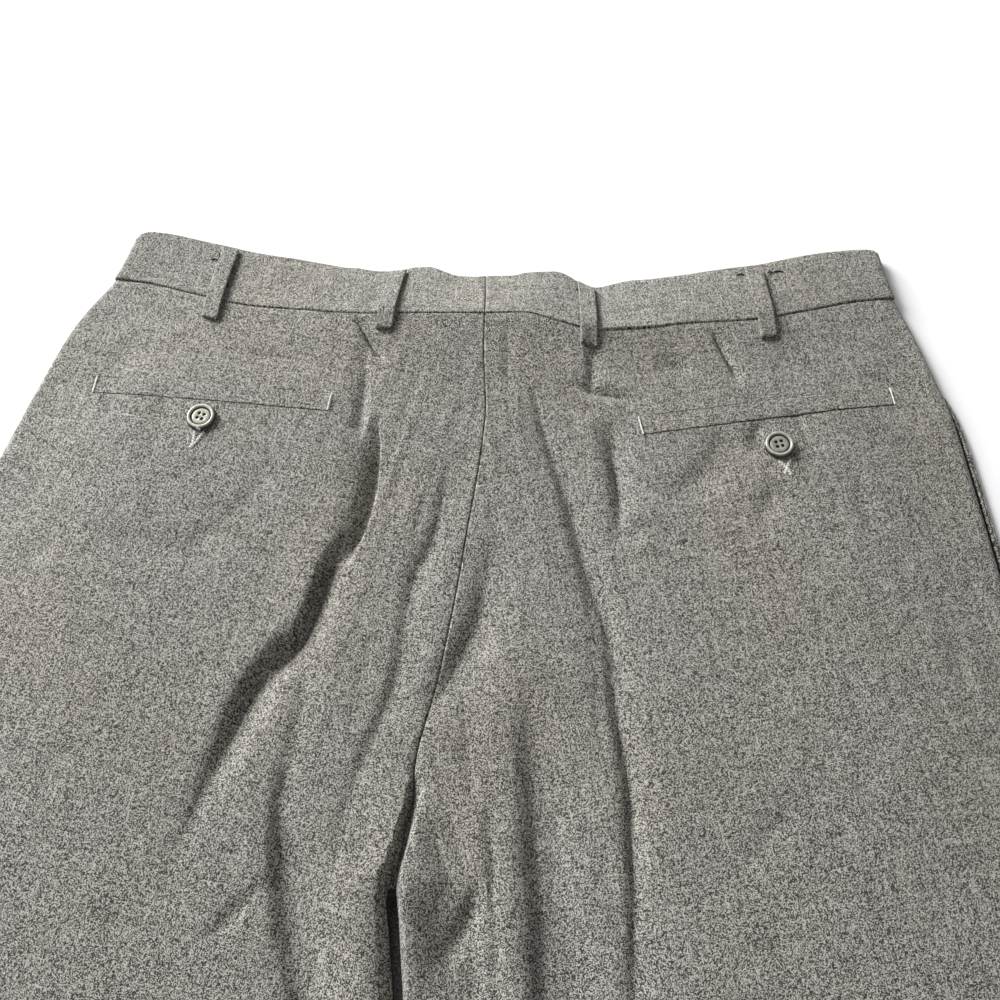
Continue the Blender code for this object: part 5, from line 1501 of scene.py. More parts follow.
@dataclass
class BackPanel:
    """One half of the seat with the back of its leg."""

    side: Side
    cut_at: float = 400.0
    finish: ClothFinish = SUITING

    def columns(self) -> list[Column]:
        """Gives the columns of points.

        Returns:
            The columns, from the side seam to the seat seam and inseam.
        """
        edge = [Column("side", "side", part) for part in (0.0, 0.03, 0.12, 0.3, 0.6)]
        for start, end, steps in COLUMN_SPANS[self.side]:
            first = 0 if start == "side" else 1
            ease = 1.22 if start == "side" else 1.0
            edge += [Column(start, end, 1.0 - (1.0 - i / steps) ** ease) for i in range(first, steps + 1)]
        return edge + [Column("inner", "inner", part) for part in (0.84, 0.68, 0.53, 0.4, 0.28, 0.18, 0.1, 0.04, 0.0)]

    def rows(self) -> Grid:
        """Gives the rows of points.

        Returns:
            y of each row at the seat seam, from the waist seam to the hem.
        """
        fine = np.arange(WAIST_SEAM_Y - HALF_SEAM - SEAM_ROUNDING - FINE_STEP, FINE_UNTIL_Y + 1.0, -FINE_STEP)
        edge = WAIST_SEAM_Y - HALF_SEAM - SEAM_ROUNDING * np.array([0.0, 0.06, 0.2, 0.45, 1.0])
        reach = FINE_UNTIL_Y - HEM_Y - HEM_TURN_UP - HEM_STEP
        count = int(reach / LEG_STEP)
        leg = FINE_UNTIL_Y - reach * (np.arange(count + 1) / count)
        hem = HEM_Y + HEM_TURN_UP * np.array([1.0, 0.7, 0.35, 0.06, 0.0])
        return np.concatenate([edge, fine, leg, hem])

    def build(self) -> Piece:
        """Makes the panel.

        Returns:
            The panel as a closed shell.
        """
        rows = self.rows()
        x, y = FORM.row_points(self.side, rows, self.columns())
        z = FORM.height(self.side, x, y)
        from_seam = (WAIST_SEAM_Y - HALF_SEAM - rows)[:, None]
        z = rounded_off(z, z - SEAM_DIP, from_seam * np.ones_like(z), SEAM_ROUNDING)
        outer = np.stack([x, y, z], axis=-1)
        if self.side is Side.RIGHT:
            outer = outer[:, ::-1]
        normals = grid_normals(outer)
        thickness = np.where(rows <= HEM_Y + HEM_TURN_UP + 0.1, HEM_CLOTH, PANEL_CLOTH)[:, None, None]
        normals[-1, :, 1] = 0.0
        inner = outer - normals * thickness
        inner[..., 2] = np.maximum(inner[..., 2], RIM_Z - 0.2)
        threads = np.stack(GRAIN[self.side].threads(outer[..., 0], outer[..., 1]), axis=-1) + self.cut_at
        panel = cloth_shell(f"seat_panel_{self.side.word}", outer, inner, threads)
        dress(panel, self.finish, (f"back_{self.side.word}",))
        return panel


@dataclass
class Waistband:
    """One half of the waistband, from the seat seam round the side to the centre front."""

    side: Side
    loop_half: float = 6.5
    loop_ramp: float = 13.0
    cut_at: float = 450.0
    finish: ClothFinish = BAND_SUITING

    def taper(self, part: Grid) -> Grid:
        """Gives how the band's width changes up its height.

        Args:
            part: How far up the band.

        Returns:
            The width, as a part of the waist seam's.
        """
        low = FORM.seam_y(self.side)
        y = low + (FORM.top_y(self.side) - low) * np.clip(part, -0.5, 1.0)
        width = np.abs(FORM.line(self.side, "side", y) - FORM.line(self.side, "inner", y))
        return width / FORM.seam_width(self.side)

    def over_back(self, u: Grid, part: Grid) -> Grid:
        """Gives points on the band's outer face over the back.

        Args:
            u: How far round each point lies, signed.
            part: How far up the band.

        Returns:
            The points in millimetres.
        """
        low_y = FORM.seam_y(u) + HALF_SEAM
        y = low_y + (FORM.top_y(u) - low_y) * part
        x = FORM.line(self.side, "inner", y) + u * FORM.seam_width(self.side) * self.taper(part)
        blend = smooth((np.abs(u) - 0.9) / 0.1)
        low_z = FORM.waist["seam_z"].at(u) + BAND_STEP
        low_z = low_z + (BAND_END_Z - low_z) * blend
        high_z = FORM.waist["top_z"].at(u)
        high_z = high_z + (BAND_END_Z - high_z) * blend
        z = low_z + (high_z - low_z) * part + part * (1.0 - part)
        calm = smooth((1.0 - part) * 6.0) * smooth(part * 6.0) * (1.0 - blend)
        z = z + 0.25 * lattice_noise(x, y, 22.0, 14.0, 11) * calm
        return np.stack([x, y, z], axis=-1)

    def part_steps(self) -> tuple[Grid, Grid]:
        """Gives the rows of points up the band.

        Returns:
            The part of the height at which each row lies, and how far the edges round down there.
        """
        height = BAND_HEIGHT
        top_radius = BAND_CLOTH / 2.0
        from_low = np.array(SEAM_PARTS)
        from_top = np.array([1.0, 0.6, 0.3, 0.1, 0.0]) * top_radius
        middle = np.arange(2.2, height - 2.2, 1.6) / height
        parts = np.concatenate([from_low / height, middle, 1.0 - from_top / height])
        low_drop = SEAM_DIP * (1.0 - rounding(from_low))
        top_drop = top_radius - np.sqrt(np.maximum(top_radius**2 - (top_radius - from_top) ** 2, 0.0))
        return parts, np.concatenate([low_drop, np.zeros_like(middle), top_drop])

    def under_front(self, distance: float, part: Grid, lift: float) -> Grid:
        """Gives points on the band's lower face under the front.

        Args:
            distance: How far from the centre front.
            part: How far up the band.
            lift: How far off the surface.

        Returns:
            The points in millimetres.
        """
        at_side = float(FORM.top_y(self.side)) - BAND_HEIGHT - FRONT_SEAM_Y
        rise = at_side * max(distance - FRONT_LEVEL, 0.0) / (FORM.seam_width(self.side) - FRONT_LEVEL)
        y = FRONT_SEAM_Y + rise + BAND_SEAM_GAP / 2.0 + (BAND_HEIGHT - BAND_SEAM_GAP) * part
        x = FORM.line(self.side, "inner", y) + self.side * distance * self.taper(part)
        return np.stack([x, y, np.full_like(y, lift)], axis=-1)

    def front_places(self) -> list[tuple[float, float]]:
        """Gives how the band steps under the front, over the front loop and the fly.

        Returns:
            Distances from the centre front, each with the band's lift there.
        """
        half = self.loop_half
        ramp = self.loop_ramp
        places = [
            (FRONT_LOOP_DISTANCE + half + ramp, 0.0),
            (FRONT_LOOP_DISTANCE + half, FRONT_LOOP_LIFT),
            (FRONT_LOOP_DISTANCE - half, FRONT_LOOP_LIFT),
            (FRONT_LOOP_DISTANCE - half - ramp, 0.0),
            (85.0, 0.0),
            (FRONT_LEVEL, 0.0),
        ]
        if self.side is Side.LEFT:
            return places + [(14.0, 0.0), (-FLY_LAP, 0.0)]
        lapped = BAND_CLOTH + BAND_SEAM_GAP
        return places + [(FLY_STEP[0] + 11.5, 0.0), (FLY_STEP[0], lapped), (-12.0, lapped), (-FLY_UNDERLAP, lapped)]

    def build(self) -> Piece:
        """Makes this half of the band.

        Returns:
            The band as a closed shell.
        """
        parts, drops = self.part_steps()
        width = FORM.seam_width(self.side)
        end = 1.0 - BAND_END_ROUNDING / width
        seam_edge = np.array(SEAM_PARTS)
        us = np.concatenate([(HALF_SEAM + seam_edge) / width, np.arange(2.6, width * end - 1.0, 1.8) / width, [end]])
        seam_drop = np.zeros_like(us)
        seam_drop[: len(seam_edge)] = SEAM_DIP * (1.0 - rounding(seam_edge))
        u_grid, part_grid = np.meshgrid(self.side * us, parts)
        face = self.over_back(u_grid, part_grid)
        ahead = self.over_back(u_grid, np.minimum(part_grid + 0.04, 1.0))
        behind = self.over_back(u_grid, np.maximum(part_grid - 0.04, 0.0))
        tilt = (ahead[..., 2] - behind[..., 2]) / (ahead[..., 1] - behind[..., 1])
        length = np.hypot(tilt, 1.0)
        normals = np.stack([np.zeros_like(tilt), -tilt / length, 1.0 / length], axis=-1)
        drop = np.maximum(drops[:, None], seam_drop[None, :])
        edge_drop = drops * (parts > 0.5)
        outer_parts = [face - normals * drop[..., None]]
        inner_parts = [face - normals * (BAND_CLOTH - edge_drop)[:, None, None]]
        low = float(FORM.seam_y(self.side)) + HALF_SEAM
        y = low + (float(FORM.top_y(self.side)) - low) * parts
        middle_x = FORM.line(self.side, "inner", y) + self.side * width * end * self.taper(parts)
        half = BAND_END_Z / 2.0
        for angle in np.radians((70.0, 45.0, 20.0, -5.0, -30.0, -55.0)):
            for inset, target in ((drops, outer_parts), (BAND_CLOTH - edge_drop, inner_parts)):
                x = middle_x + self.side * (BAND_END_ROUNDING - inset) * math.cos(angle)
                z = half + (half - inset) * math.sin(angle)
                target.append(np.stack([x, y, z], axis=-1)[:, None])
        for distance, lift in [(width - BAND_END_ROUNDING, 0.0)] + self.front_places():
            flat = self.under_front(distance, parts, lift)
            for inset, target in ((edge_drop, outer_parts), (BAND_CLOTH - edge_drop, inner_parts)):
                raised = flat.copy()
                raised[:, 2] += inset
                target.append(raised[:, None])
        outer = np.concatenate(outer_parts, axis=1)
        inner = np.concatenate(inner_parts, axis=1)
        weft = run_along(outer[len(parts) // 2])
        threads = np.stack(np.meshgrid(weft + self.cut_at * (self.side + 1), -BAND_HEIGHT * parts), axis=-1)
        way = int(self.side)
        band = cloth_shell(f"band_{self.side.word}", *(grid[::-1, ::way] for grid in (outer, inner, threads)))
        dress(band, self.finish, (f"waistband_{self.side.word}",))
        return band


@dataclass
class BeltLoop:
    """One belt loop on the back, with both ends turned under."""

    number: int
    seam_x: float
    top_lean: float
    below_top: float
    below_seam: float
    bands: dict[Side, Waistband]
    width: float = 9.4
    cloth: float = 1.25
    rise: float = 1.2
    turn: float = 6.0
    finish: ClothFinish = TRIM_SUITING

    def surface(self, x: Grid, y: Grid) -> tuple[Grid, Grid]:
        """Gives the height and the lengthwise slope of the cloth under the loop.

        Args:
            x: Places across.
            y: Places along.

        Returns:
            Heights, and how much they rise for each millimetre up the body.
        """
        side = FORM.side_of(self.seam_x, WAIST_SEAM_Y)
        band = self.bands[side]
        u = FORM.across(side, x, np.full_like(x, WAIST_SEAM_Y))
        part = np.zeros_like(x)
        for _ in range(6):
            low_y = FORM.seam_y(u) + HALF_SEAM
            part = (y - low_y) / (FORM.top_y(u) - low_y)
            u = (x - FORM.line(side, "inner", y)) / FORM.seam_width(side) / band.taper(part)
        low, middle, high = (band.over_back(u, np.clip(part, 0.03, 0.97) + step) for step in (-0.03, 0.0, 0.03))
        tilt = (high[..., 2] - low[..., 2]) / (high[..., 1] - low[..., 1])
        above, cloth, below = (FORM.height(side, x, y + step, with_seams=False) for step in (1.0, 0.0, -1.0))
        on_band = part >= 0.0
        return np.where(on_band, middle[..., 2], cloth), np.where(on_band, tilt, (above - below) / 2.0)

    def path(self, aside: Grid) -> Grid:
        """Gives the middle of the loop's cloth, from its top end to its foot.

        Args:
            aside: How far to each side of the loop's middle the lines of points run.

        Returns:
            The points, one line across the loop after another.
        """
        side = FORM.side_of(self.seam_x, WAIST_SEAM_Y)
        u = FORM.across(side, self.seam_x + aside, np.full_like(aside, WAIST_SEAM_Y))
        middle_y = FORM.seam_y(u)
        top_y = FORM.top_y(u) - self.below_top
        foot_y = middle_y - self.below_seam
        low = 0.15 + self.cloth / 2.0
        high = low + self.rise
        bulge = self.rise / 2.0
        turns = np.radians((-60.0, -20.0, 20.0, 60.0))
        rows = [(top_y - self.turn, low + 0.2), (top_y - bulge, low)]
        rows += [(top_y - bulge + bulge * math.cos(turn), low + bulge + bulge * math.sin(turn)) for turn in turns]
        rows.append((top_y - bulge, high))
        for part in np.linspace(0.0, 1.0, 13):
            y = top_y - 5.0 + (foot_y + bulge + 2.5 - top_y + 5.0) * part
            bow = 0.3 * math.sin(math.pi * part) + 0.45 * np.exp(-(((y - middle_y) / 6.0) ** 2))
            rows.append((y, high + bow))
        rows.append((foot_y + bulge, high - 0.05))
        rows += [(foot_y + bulge - bulge * math.cos(turn), low + bulge + bulge * math.sin(-turn)) for turn in turns]
        rows += [(foot_y + bulge, low), (foot_y + self.turn, low + 0.2)]
        y = np.array([row[0] for row in rows])
        up = np.array([row[1] + np.zeros_like(aside) for row in rows])
        x = self.seam_x + aside + self.top_lean / (top_y - middle_y) * (y - middle_y)
        z, slope = self.surface(x, y)
        length = np.hypot(slope, 1.0)
        return np.stack([x, y - up * slope / length, z + up / length], axis=-1)

    def build(self) -> Piece:
        """Makes the loop.

        Returns:
            The loop as a closed shell.
        """
        half = self.width / 2.0
        asides = half * np.array([-1.0, -0.985, -0.94, -0.86, -0.72, -0.4, 0.0, 0.4, 0.72, 0.86, 0.94, 0.985, 1.0])
        grid = self.path(asides)
        along = np.gradient(grid, axis=0)
        normals = unit(np.stack([np.zeros_like(along[..., 0]), along[..., 2], -along[..., 1]], axis=-1))
        radius = self.cloth / 2.0
        from_edge = half - np.abs(asides)
        thick = radius * rounding(np.maximum(from_edge / radius, 0.03))
        outer = grid + normals * thick[None, :, None]
        inner = grid - normals * thick[None, :, None]
        threads = np.stack(np.meshgrid(asides + 30.0 * self.number, run_along(grid[:, 6])), axis=-1)
        loop = cloth_shell(f"loop_{self.number}", outer, inner, threads)
        dress(loop, self.finish, (f"belt_loop_{self.number}",))
        return loop


@dataclass
class WeltPocket:
    """One back pocket: its welt, the dark lines of its mouth in painted shade, bar tacks, buttonhole and button."""

    side: Side
    outer: tuple[float, float]
    inner: tuple[float, float]
    button: tuple[float, float]
    button_turn: float
    width: float = 10.6
    button_radius: float = 7.4
    button_height: float = 2.6
    hole_radius: float = 1.02
    tack_radius: float = 0.24
    stitch_radius: float = 0.29
    shank_radius: float = 0.8
    end_radius: float = 0.75
    cut_at: float = 437.0
    finish: ClothFinish = SUITING

    def place(self, along: Grid, up: Grid, lift: Grid) -> Grid:
        """Gives points over the panel along the welt.

        Args:
            along: How far from the welt's outer end.
            up: How far above its middle line.
            lift: How far off the panel.

        Returns:
            The points in millimetres.
        """
        run = np.array(self.inner) - np.array(self.outer)
        run = run / np.linalg.norm(run)
        rise = np.array([-run[1], run[0]]) * (1.0 if run[0] > 0.0 else -1.0)
        x = self.outer[0] + run[0] * along + rise[0] * up
        y = self.outer[1] + run[1] * along + rise[1] * up
        z = FORM.height(self.side, x, y, with_seams=False) + lift
        return np.stack([x, y, z], axis=-1)

    @property
    def length(self) -> float:
        """How long the welt is."""
        return math.dist(self.outer, self.inner)

    @property
    def holes(self) -> list[tuple[float, float]]:
        """The middles of the button's holes, from its own middle."""
        angles = [math.pi / 4.0 + math.pi / 2.0 * i for i in range(4)]
        return [(HOLE_REACH * math.cos(angle), HOLE_REACH * math.sin(angle)) for angle in angles]

    def strip(self, name: str, reach: float, start: float, stop: float, lift: float, cloth: float) -> Piece:
        """Makes a strip of cloth with rounded edges along the welt.

        Args:
            name: The piece's name.
            reach: How much of the painted shade line's reach past the welt it has, from 0 to 1.
            start: Where it starts along the welt.
            stop: Where it ends.
            lift: How far its outer face lies off the panel.
            cloth: Its thickness.

        Returns:
            The strip.
        """
        half = self.width / 2.0
        radius = min(0.7, half)
        steps = np.array([0.0, 0.05, 0.2, 0.5, 1.0]) * radius
        inside = np.linspace(radius, self.width - radius, max(int(self.width / 1.2), 2))[1:-1]
        ups = -half + np.concatenate([steps, inside, self.width - steps[::-1]])
        from_edge = np.minimum(ups + half, half - ups)
        drop = (cloth - 0.1) * (1.0 - rounding(from_edge / radius))
        alongs = np.linspace(start, stop, max(int((stop - start) / 1.5), 4))
        along_grid, up_grid = np.meshgrid(alongs, ups[::-1])
        line = np.array(WELT_LINES[self.side])
        above, below = (np.interp(alongs / self.length, line[:, 0], line[:, i]) * reach for i in (1, 2))
        up_grid = up_grid + np.where(up_grid > 0.0, above[None, :], -below[None, :])
        drop_grid = np.tile(drop[::-1, None], (1, len(alongs)))
        outer = self.place(along_grid, up_grid, lift - drop_grid)
        inner = self.place(along_grid, up_grid, np.full_like(up_grid, lift - cloth))
        threads = np.stack(GRAIN[self.side].threads(outer[..., 0], outer[..., 1]), axis=-1) + self.cut_at
        if self.side is Side.RIGHT:
            outer, inner, threads = outer[:, ::-1], inner[:, ::-1], threads[:, ::-1]
        return cloth_shell(name, outer, inner, threads)

    def build(self) -> list[Piece]:
        """Makes the pocket's pieces.

        Returns:
            The welt, its mouth lines of painted shade, tacks, buttonhole and button.
        """
        welt = self.strip(f"pocket_welt_{self.side.word}", 0.0, 0.0, self.length, 0.34, 0.3)
        dress(welt, self.finish, (f"welt_{self.side.word}",))
        # The mouth's dark lines are a strip of painted shade under the welt's edges.
        mouth = self.strip(f"pocket_mouth_painted_shade_{self.side.word}", 1.0, -0.2, self.length + 0.2, 0.16, 0.14)
        dress(mouth, SHADED_SUITING)
        pieces = [welt, mouth, self.tacks(), self.buttonhole(), self.horn_button(), self.button_thread()]
        return pieces + ([self.thread_end()] if self.side is Side.LEFT else [])

    def thread_end(self) -> Piece:
        """Makes the end of pale thread that sticks out under the button's rim.

        Returns:
            The thread end.
        """
        x, y = self.button
        low = float(FORM.height(self.side, np.array([x]), np.array([y]))[0])
        route = [Vector((x - 1.2, y - 7.0, low + 2.7)), Vector((x - 0.3, y - 7.7, low + 2.4))]
        route.append(Vector((x + 0.6, y - 7.9, low + 1.6)))
        return dress(strand("thread_end_left", route, self.end_radius), WHITE_THREAD)

    def tacks(self) -> Piece:
        """Makes the white bar tacks across the ends of the welt.

        Returns:
            The tacks.
        """
        strands = []
        for along, lean in ((-0.8, -0.7), (self.length + 0.6, 0.5)):
            for offset, wave in ((-0.16, 0.12), (0.16, -0.12)):
                steps = np.linspace(-5.3, 5.3, 12)
                sway = offset + lean * steps / 10.0 + wave * np.sin(steps * 1.7)
                points = self.place(np.full_like(steps, along) + sway, steps, np.full_like(steps, 0.75))
                strands.append(strand("tack", [Vector(point) for point in points], self.tack_radius))
        tacks = joined(f"bar_tacks_{self.side.word}", strands)
        return dress(tacks, WHITE_THREAD)

    def buttonhole(self) -> Piece:
        """Makes the white stitches round the end of the buttonhole, just below the button.

        Returns:
            The stitches.
        """
        if self.side is Side.LEFT:
            rows = (((-2.6, -8.4), (-2.2, -14.0), (-3.6, -18.4)), ((2.5, -8.6), (-0.2, -13.7), (-3.6, -18.4)))
        else:
            rows = (((-0.9, -9.0), (3.0, -13.0), (4.8, -17.2)), ((5.4, -8.0), (3.0, -13.0), (1.4, -16.8)))
        strands = []
        for number, row in enumerate(rows):
            corners = [Vector((self.button[0] + x, self.button[1] + y, 0.0)) for x, y in row]
            for start, stop in zip(corners, corners[1:]):
                run = stop - start
                across = Vector((-run.y, run.x, 0.0)).normalized()
                count = max(int(run.length / 0.75), 2)
                for i in range(count):
                    middle = start + run * ((i + 0.5) / count)
                    lean = run.normalized() * (0.25 if (i + number) % 2 else -0.2)
                    ends = (middle - across * 0.8 - lean, middle + across * (0.65 + 0.15 * (i % 3)) + lean)
                    arc = []
                    for part, up in ((0.0, 0.05), (0.3, 0.42), (0.7, 0.42), (1.0, 0.05)):
                        flat = ends[0].lerp(ends[1], part)
                        arc.append(FORM.point(flat.x, flat.y) + Vector((0.0, 0.0, up)))
                    strands.append(strand("stitch", arc, self.stitch_radius))
        holes = joined(f"buttonhole_{self.side.word}", strands)
        return dress(holes, WHITE_THREAD)

    def seat(self) -> Matrix:
        """Gives the place and tilt of the button.

        Returns:
            The move to there from the origin, in metres.
        """
        low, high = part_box(f"button_{self.side.word}")
        normal = FORM.normal(self.button[0], self.button[1], 6.0)
        tilt = Vector((0.0, 0.0, 1.0)).rotation_difference(normal).to_matrix().to_4x4()
        middle = Vector(((low[0] + high[0]) / 2.0, (low[1] + high[1]) / 2.0, (low[2] + high[2]) / 2.0))
        turn = Matrix.Rotation(math.radians(self.button_turn), 4, "Z")
        return Matrix.Translation(middle) @ tilt @ turn

    def horn_button(self) -> Piece:
        """Makes the four-hole button with its raised rim, groove and dish.

        Returns:
            The button.
        """
        radius = self.button_radius
        thick = self.button_height
        deselect_all()
        bpy.ops.mesh.primitive_circle_add(vertices=64, radius=radius * 0.70 * MM, fill_type="NGON", location=(0, 0, 0))
        button = named(f"horn_button_{self.side.word}")
        bpy.ops.object.mode_set(mode="EDIT")
        bpy.ops.mesh.select_all(action="SELECT")
        profile = (
            # radius, height
            (0.96, 0.02), (1.05, 0.10), (1.075, 0.22), (1.045, 0.34), (1.00, 0.42), (0.995, 0.66), (0.975, 0.84),
            (0.93, 0.96), (0.88, 1.00), (0.82, 0.98), (0.775, 0.86), (0.735, 0.56), (0.705, 0.34), (0.675, 0.36),
            (0.645, 0.58), (0.60, 0.68), (0.50, 0.70),
        )
        before = (0.70, 0.0)
        for step in profile:
            bpy.ops.mesh.extrude_region_move(
                TRANSFORM_OT_translate={"value": (0.0, 0.0, (step[1] - before[1]) * thick * MM)}
            )
            share = step[0] / before[0]
            bpy.ops.transform.resize(value=(share, share, 1.0))
            before = step
        bpy.ops.mesh.select_all(action="SELECT")
        bpy.ops.mesh.normals_make_consistent(inside=False)
        bpy.ops.object.mode_set(mode="OBJECT")
        for x, y in self.holes:
            deselect_all()
            bpy.ops.mesh.primitive_cylinder_add(
                vertices=24, radius=self.hole_radius * MM, depth=12.0 * MM, location=(x * MM, y * MM, 0.0)
            )
            drill = bpy.context.object
            select_only(button)
            hole = button.modifiers.new("hole", "BOOLEAN")
            hole.operation = "DIFFERENCE"
            hole.solver = "EXACT"
            hole.object = drill
            bpy.ops.object.modifier_apply(modifier=hole.name)
            bpy.data.objects.remove(drill, do_unlink=True)
        select_only(button)
        edge = button.modifiers.new("edge", "BEVEL")
        edge.width = 0.09 * MM
        edge.segments = 2
        edge.limit_method = "ANGLE"
        edge.angle_limit = math.radians(50.0)
        bpy.ops.object.modifier_apply(modifier=edge.name)
        bpy.ops.object.shade_smooth_by_angle(angle=math.radians(45.0))
        while button.data.uv_layers:
            button.data.uv_layers.remove(button.data.uv_layers[0])
        turned = button.data.uv_layers.new(name="turned")
        for loop in button.data.loops:
            place = button.data.vertices[loop.vertex_index].co
            turned.data[loop.index].uv = (math.hypot(place.x, place.y) / (radius * MM), place.z / MM)
        button.data.transform(self.seat() @ Matrix.Translation((0.0, 0.0, -thick * MM / 2.0)))
        return dress(button, HORN[self.side], (f"button_{self.side.word}",))

    def button_thread(self) -> Piece:
        """Makes the dark shank of thread under the button, and its crossings down in the holes.

        Returns:
            The thread.
        """
        seat = self.seat()
        strands = []
        for x, y in self.holes:
            route = [Vector((x, y, -0.35)), Vector((x, y, -0.9)), Vector((x * 0.7, y * 0.7, -1.8))]
            strands.append(strand("shank", [seat @ (place * MM) / MM for place in route], self.shank_radius))
        shank = joined(f"button_shank_{self.side.word}", strands)
        return dress(shank, DARK_THREAD)


@dataclass
class SideEdge:
    """The right side pocket's gaping mouth: its facing in painted shade, the facing's stitched edge and the front's
    folded edge.
    """

    cloth: float = 0.4
    half_turn: float = 5.2

    def edge_x(self, y: Grid, share: float) -> Grid:
        """Gives x at a share of the way from the back panel's edge to the front panel's."""
        return FORM.line(Side.RIGHT, "side", y) + FORM.overhang.at(y) * share

    def build(self) -> list[Piece]:
        """Makes the mouth's pieces.

        Returns:
            The facing in painted shade, its stitched edge and the front's folded edge.
        """
        y = np.arange(MOUTH_TOP_Y - 6.0, MOUTH_TOP_Y - MOUTH_LENGTH + 4.0, -2.0)
        shares = np.array([-6.0, -3.0, -1.0, -0.3, 0.2, 0.55])
        x = np.stack([self.edge_x(y, 1.0) - 5.0 * (1.0 - share) for share in shares], axis=1)
        z = np.tile(np.array([1.9, 1.9, 1.9, 1.95, 2.0, 1.9]), (len(y), 1))
        outer = np.stack([x, np.tile(y[:, None], (1, len(shares))), z], axis=-1)
        inner = outer.copy()
        inner[..., 2] -= self.cloth
        threads = np.stack([outer[..., 0] + 100.0, -outer[..., 1] + 600.0], axis=-1)
        # The facing is painted near black as the shade in the mouth's gap.
        facing = cloth_shell("mouth_facing_right", outer, inner, threads)
        dress(facing, SHADED_SUITING, ("pocket_facing_right",))
        pieces = [facing]
        for name, share, radius, height, wave in (
            ("mouth_cord_right", 0.52, 0.75, 2.5, 0.30),
            ("mouth_fold_right", 0.86, 0.85, 1.75, 0.16),
        ):
            strands = []
            for phase in (0.0, math.pi):
                points = []
                for place in np.arange(MOUTH_TOP_Y + 4.0, MOUTH_TOP_Y - MOUTH_LENGTH - 8.0, -1.5):
                    turn = place / self.half_turn * math.pi + phase
                    x = float(self.edge_x(place, share)) + wave * math.cos(turn) - 0.3
                    points.append(Vector((x, float(place), height + wave * math.sin(turn))))
                strands.append(strand("ply", points, radius * 0.8))
            cord = joined(name, strands)
            pieces.append(dress(cord, FLAT_SUITING))
        return pieces


@dataclass
class CrotchGapShade:
    """A strip of painted shade at the bottom of the gap between the legs under the crotch."""

    top_y: float = 197.0
    low_y: float = 64.0
    cloth: float = 0.12
    cut_at: float = 300.0

    def build(self) -> Piece:
        """Makes the strip of painted shade on the front panels that shows between the legs' edges.

        Returns:
            The strip.
        """
        y = np.arange(self.top_y, self.low_y, -2.0)
        left = FORM.line(Side.LEFT, "inner", y) - HALF_SEAM + 0.02
        right = np.maximum(FORM.line(Side.RIGHT, "inner", y) + HALF_SEAM - 0.02, left + 0.06)
        x = np.linspace(left, right, 4, axis=1)
        outer = np.stack([x, np.tile(y[:, None], (1, 4)), np.full_like(x, RIM_Z - 0.06)], axis=-1)
        inner = outer.copy()
        inner[..., 2] -= self.cloth
        floor = cloth_shell("gap_painted_shade", outer, inner, outer[..., :2] + self.cut_at)
        return dress(floor, SHADED_SUITING)


@dataclass
class LooseTacks:
    """Loose ends of dark thread where the loops are tacked at the top."""

    bands: dict[Side, Waistband]
    radius: float = 0.4

    def build(self) -> Piece:
        """Makes the knots and ends.

        Returns:
            The ends, as one piece.
        """
        ends = (
            # x, y, reach_x, reach_y, curl
            (-153.5, 545.0, 1.6, -6.0, 0.9),
            (-156.5, 539.0, 5.0, -0.6, 0.6),
            (55.6, 518.6, 2.6, -1.6, 1.0),
            (55.2, 517.0, 1.2, 1.4, 0.8),
            (152.5, 528.0, -4.0, 0.8, 0.5),
            (166.3, 529.6, 3.4, 0.5, 0.8),
            (167.0, 531.0, 1.0, -2.2, 0.9),
            (170.0, 530.2, 5.6, 0.2, 0.5),
        )
        strands = []
        for x, y, reach_x, reach_y, curl in ends:
            points = []
            for i in range(6):
                part = i / 5.0
                swing = curl * math.sin(part * math.pi * 1.4)
                place_x = x + reach_x * part + swing * 0.4
                place_y = y + reach_y * part + swing
                side = FORM.side_of(place_x, place_y)
                u = (place_x - float(FORM.line(side, "inner", place_y))) / FORM.seam_width(side)
                low_y = float(FORM.seam_y(u))
                high_y = float(FORM.top_y(u))
                share = min(max((place_y - low_y) / (high_y - low_y), 0.0), 0.985)
                z = self.bands[side].over_back(np.array([u]), np.array([share]))[0][2]
                points.append(Vector((place_x, place_y, float(z) + 0.35 + 0.25 * math.sin(part * math.pi))))
            strands.append(strand("end", points, self.radius))
        return dress(joined("loose_tacks", strands), DARK_THREAD)


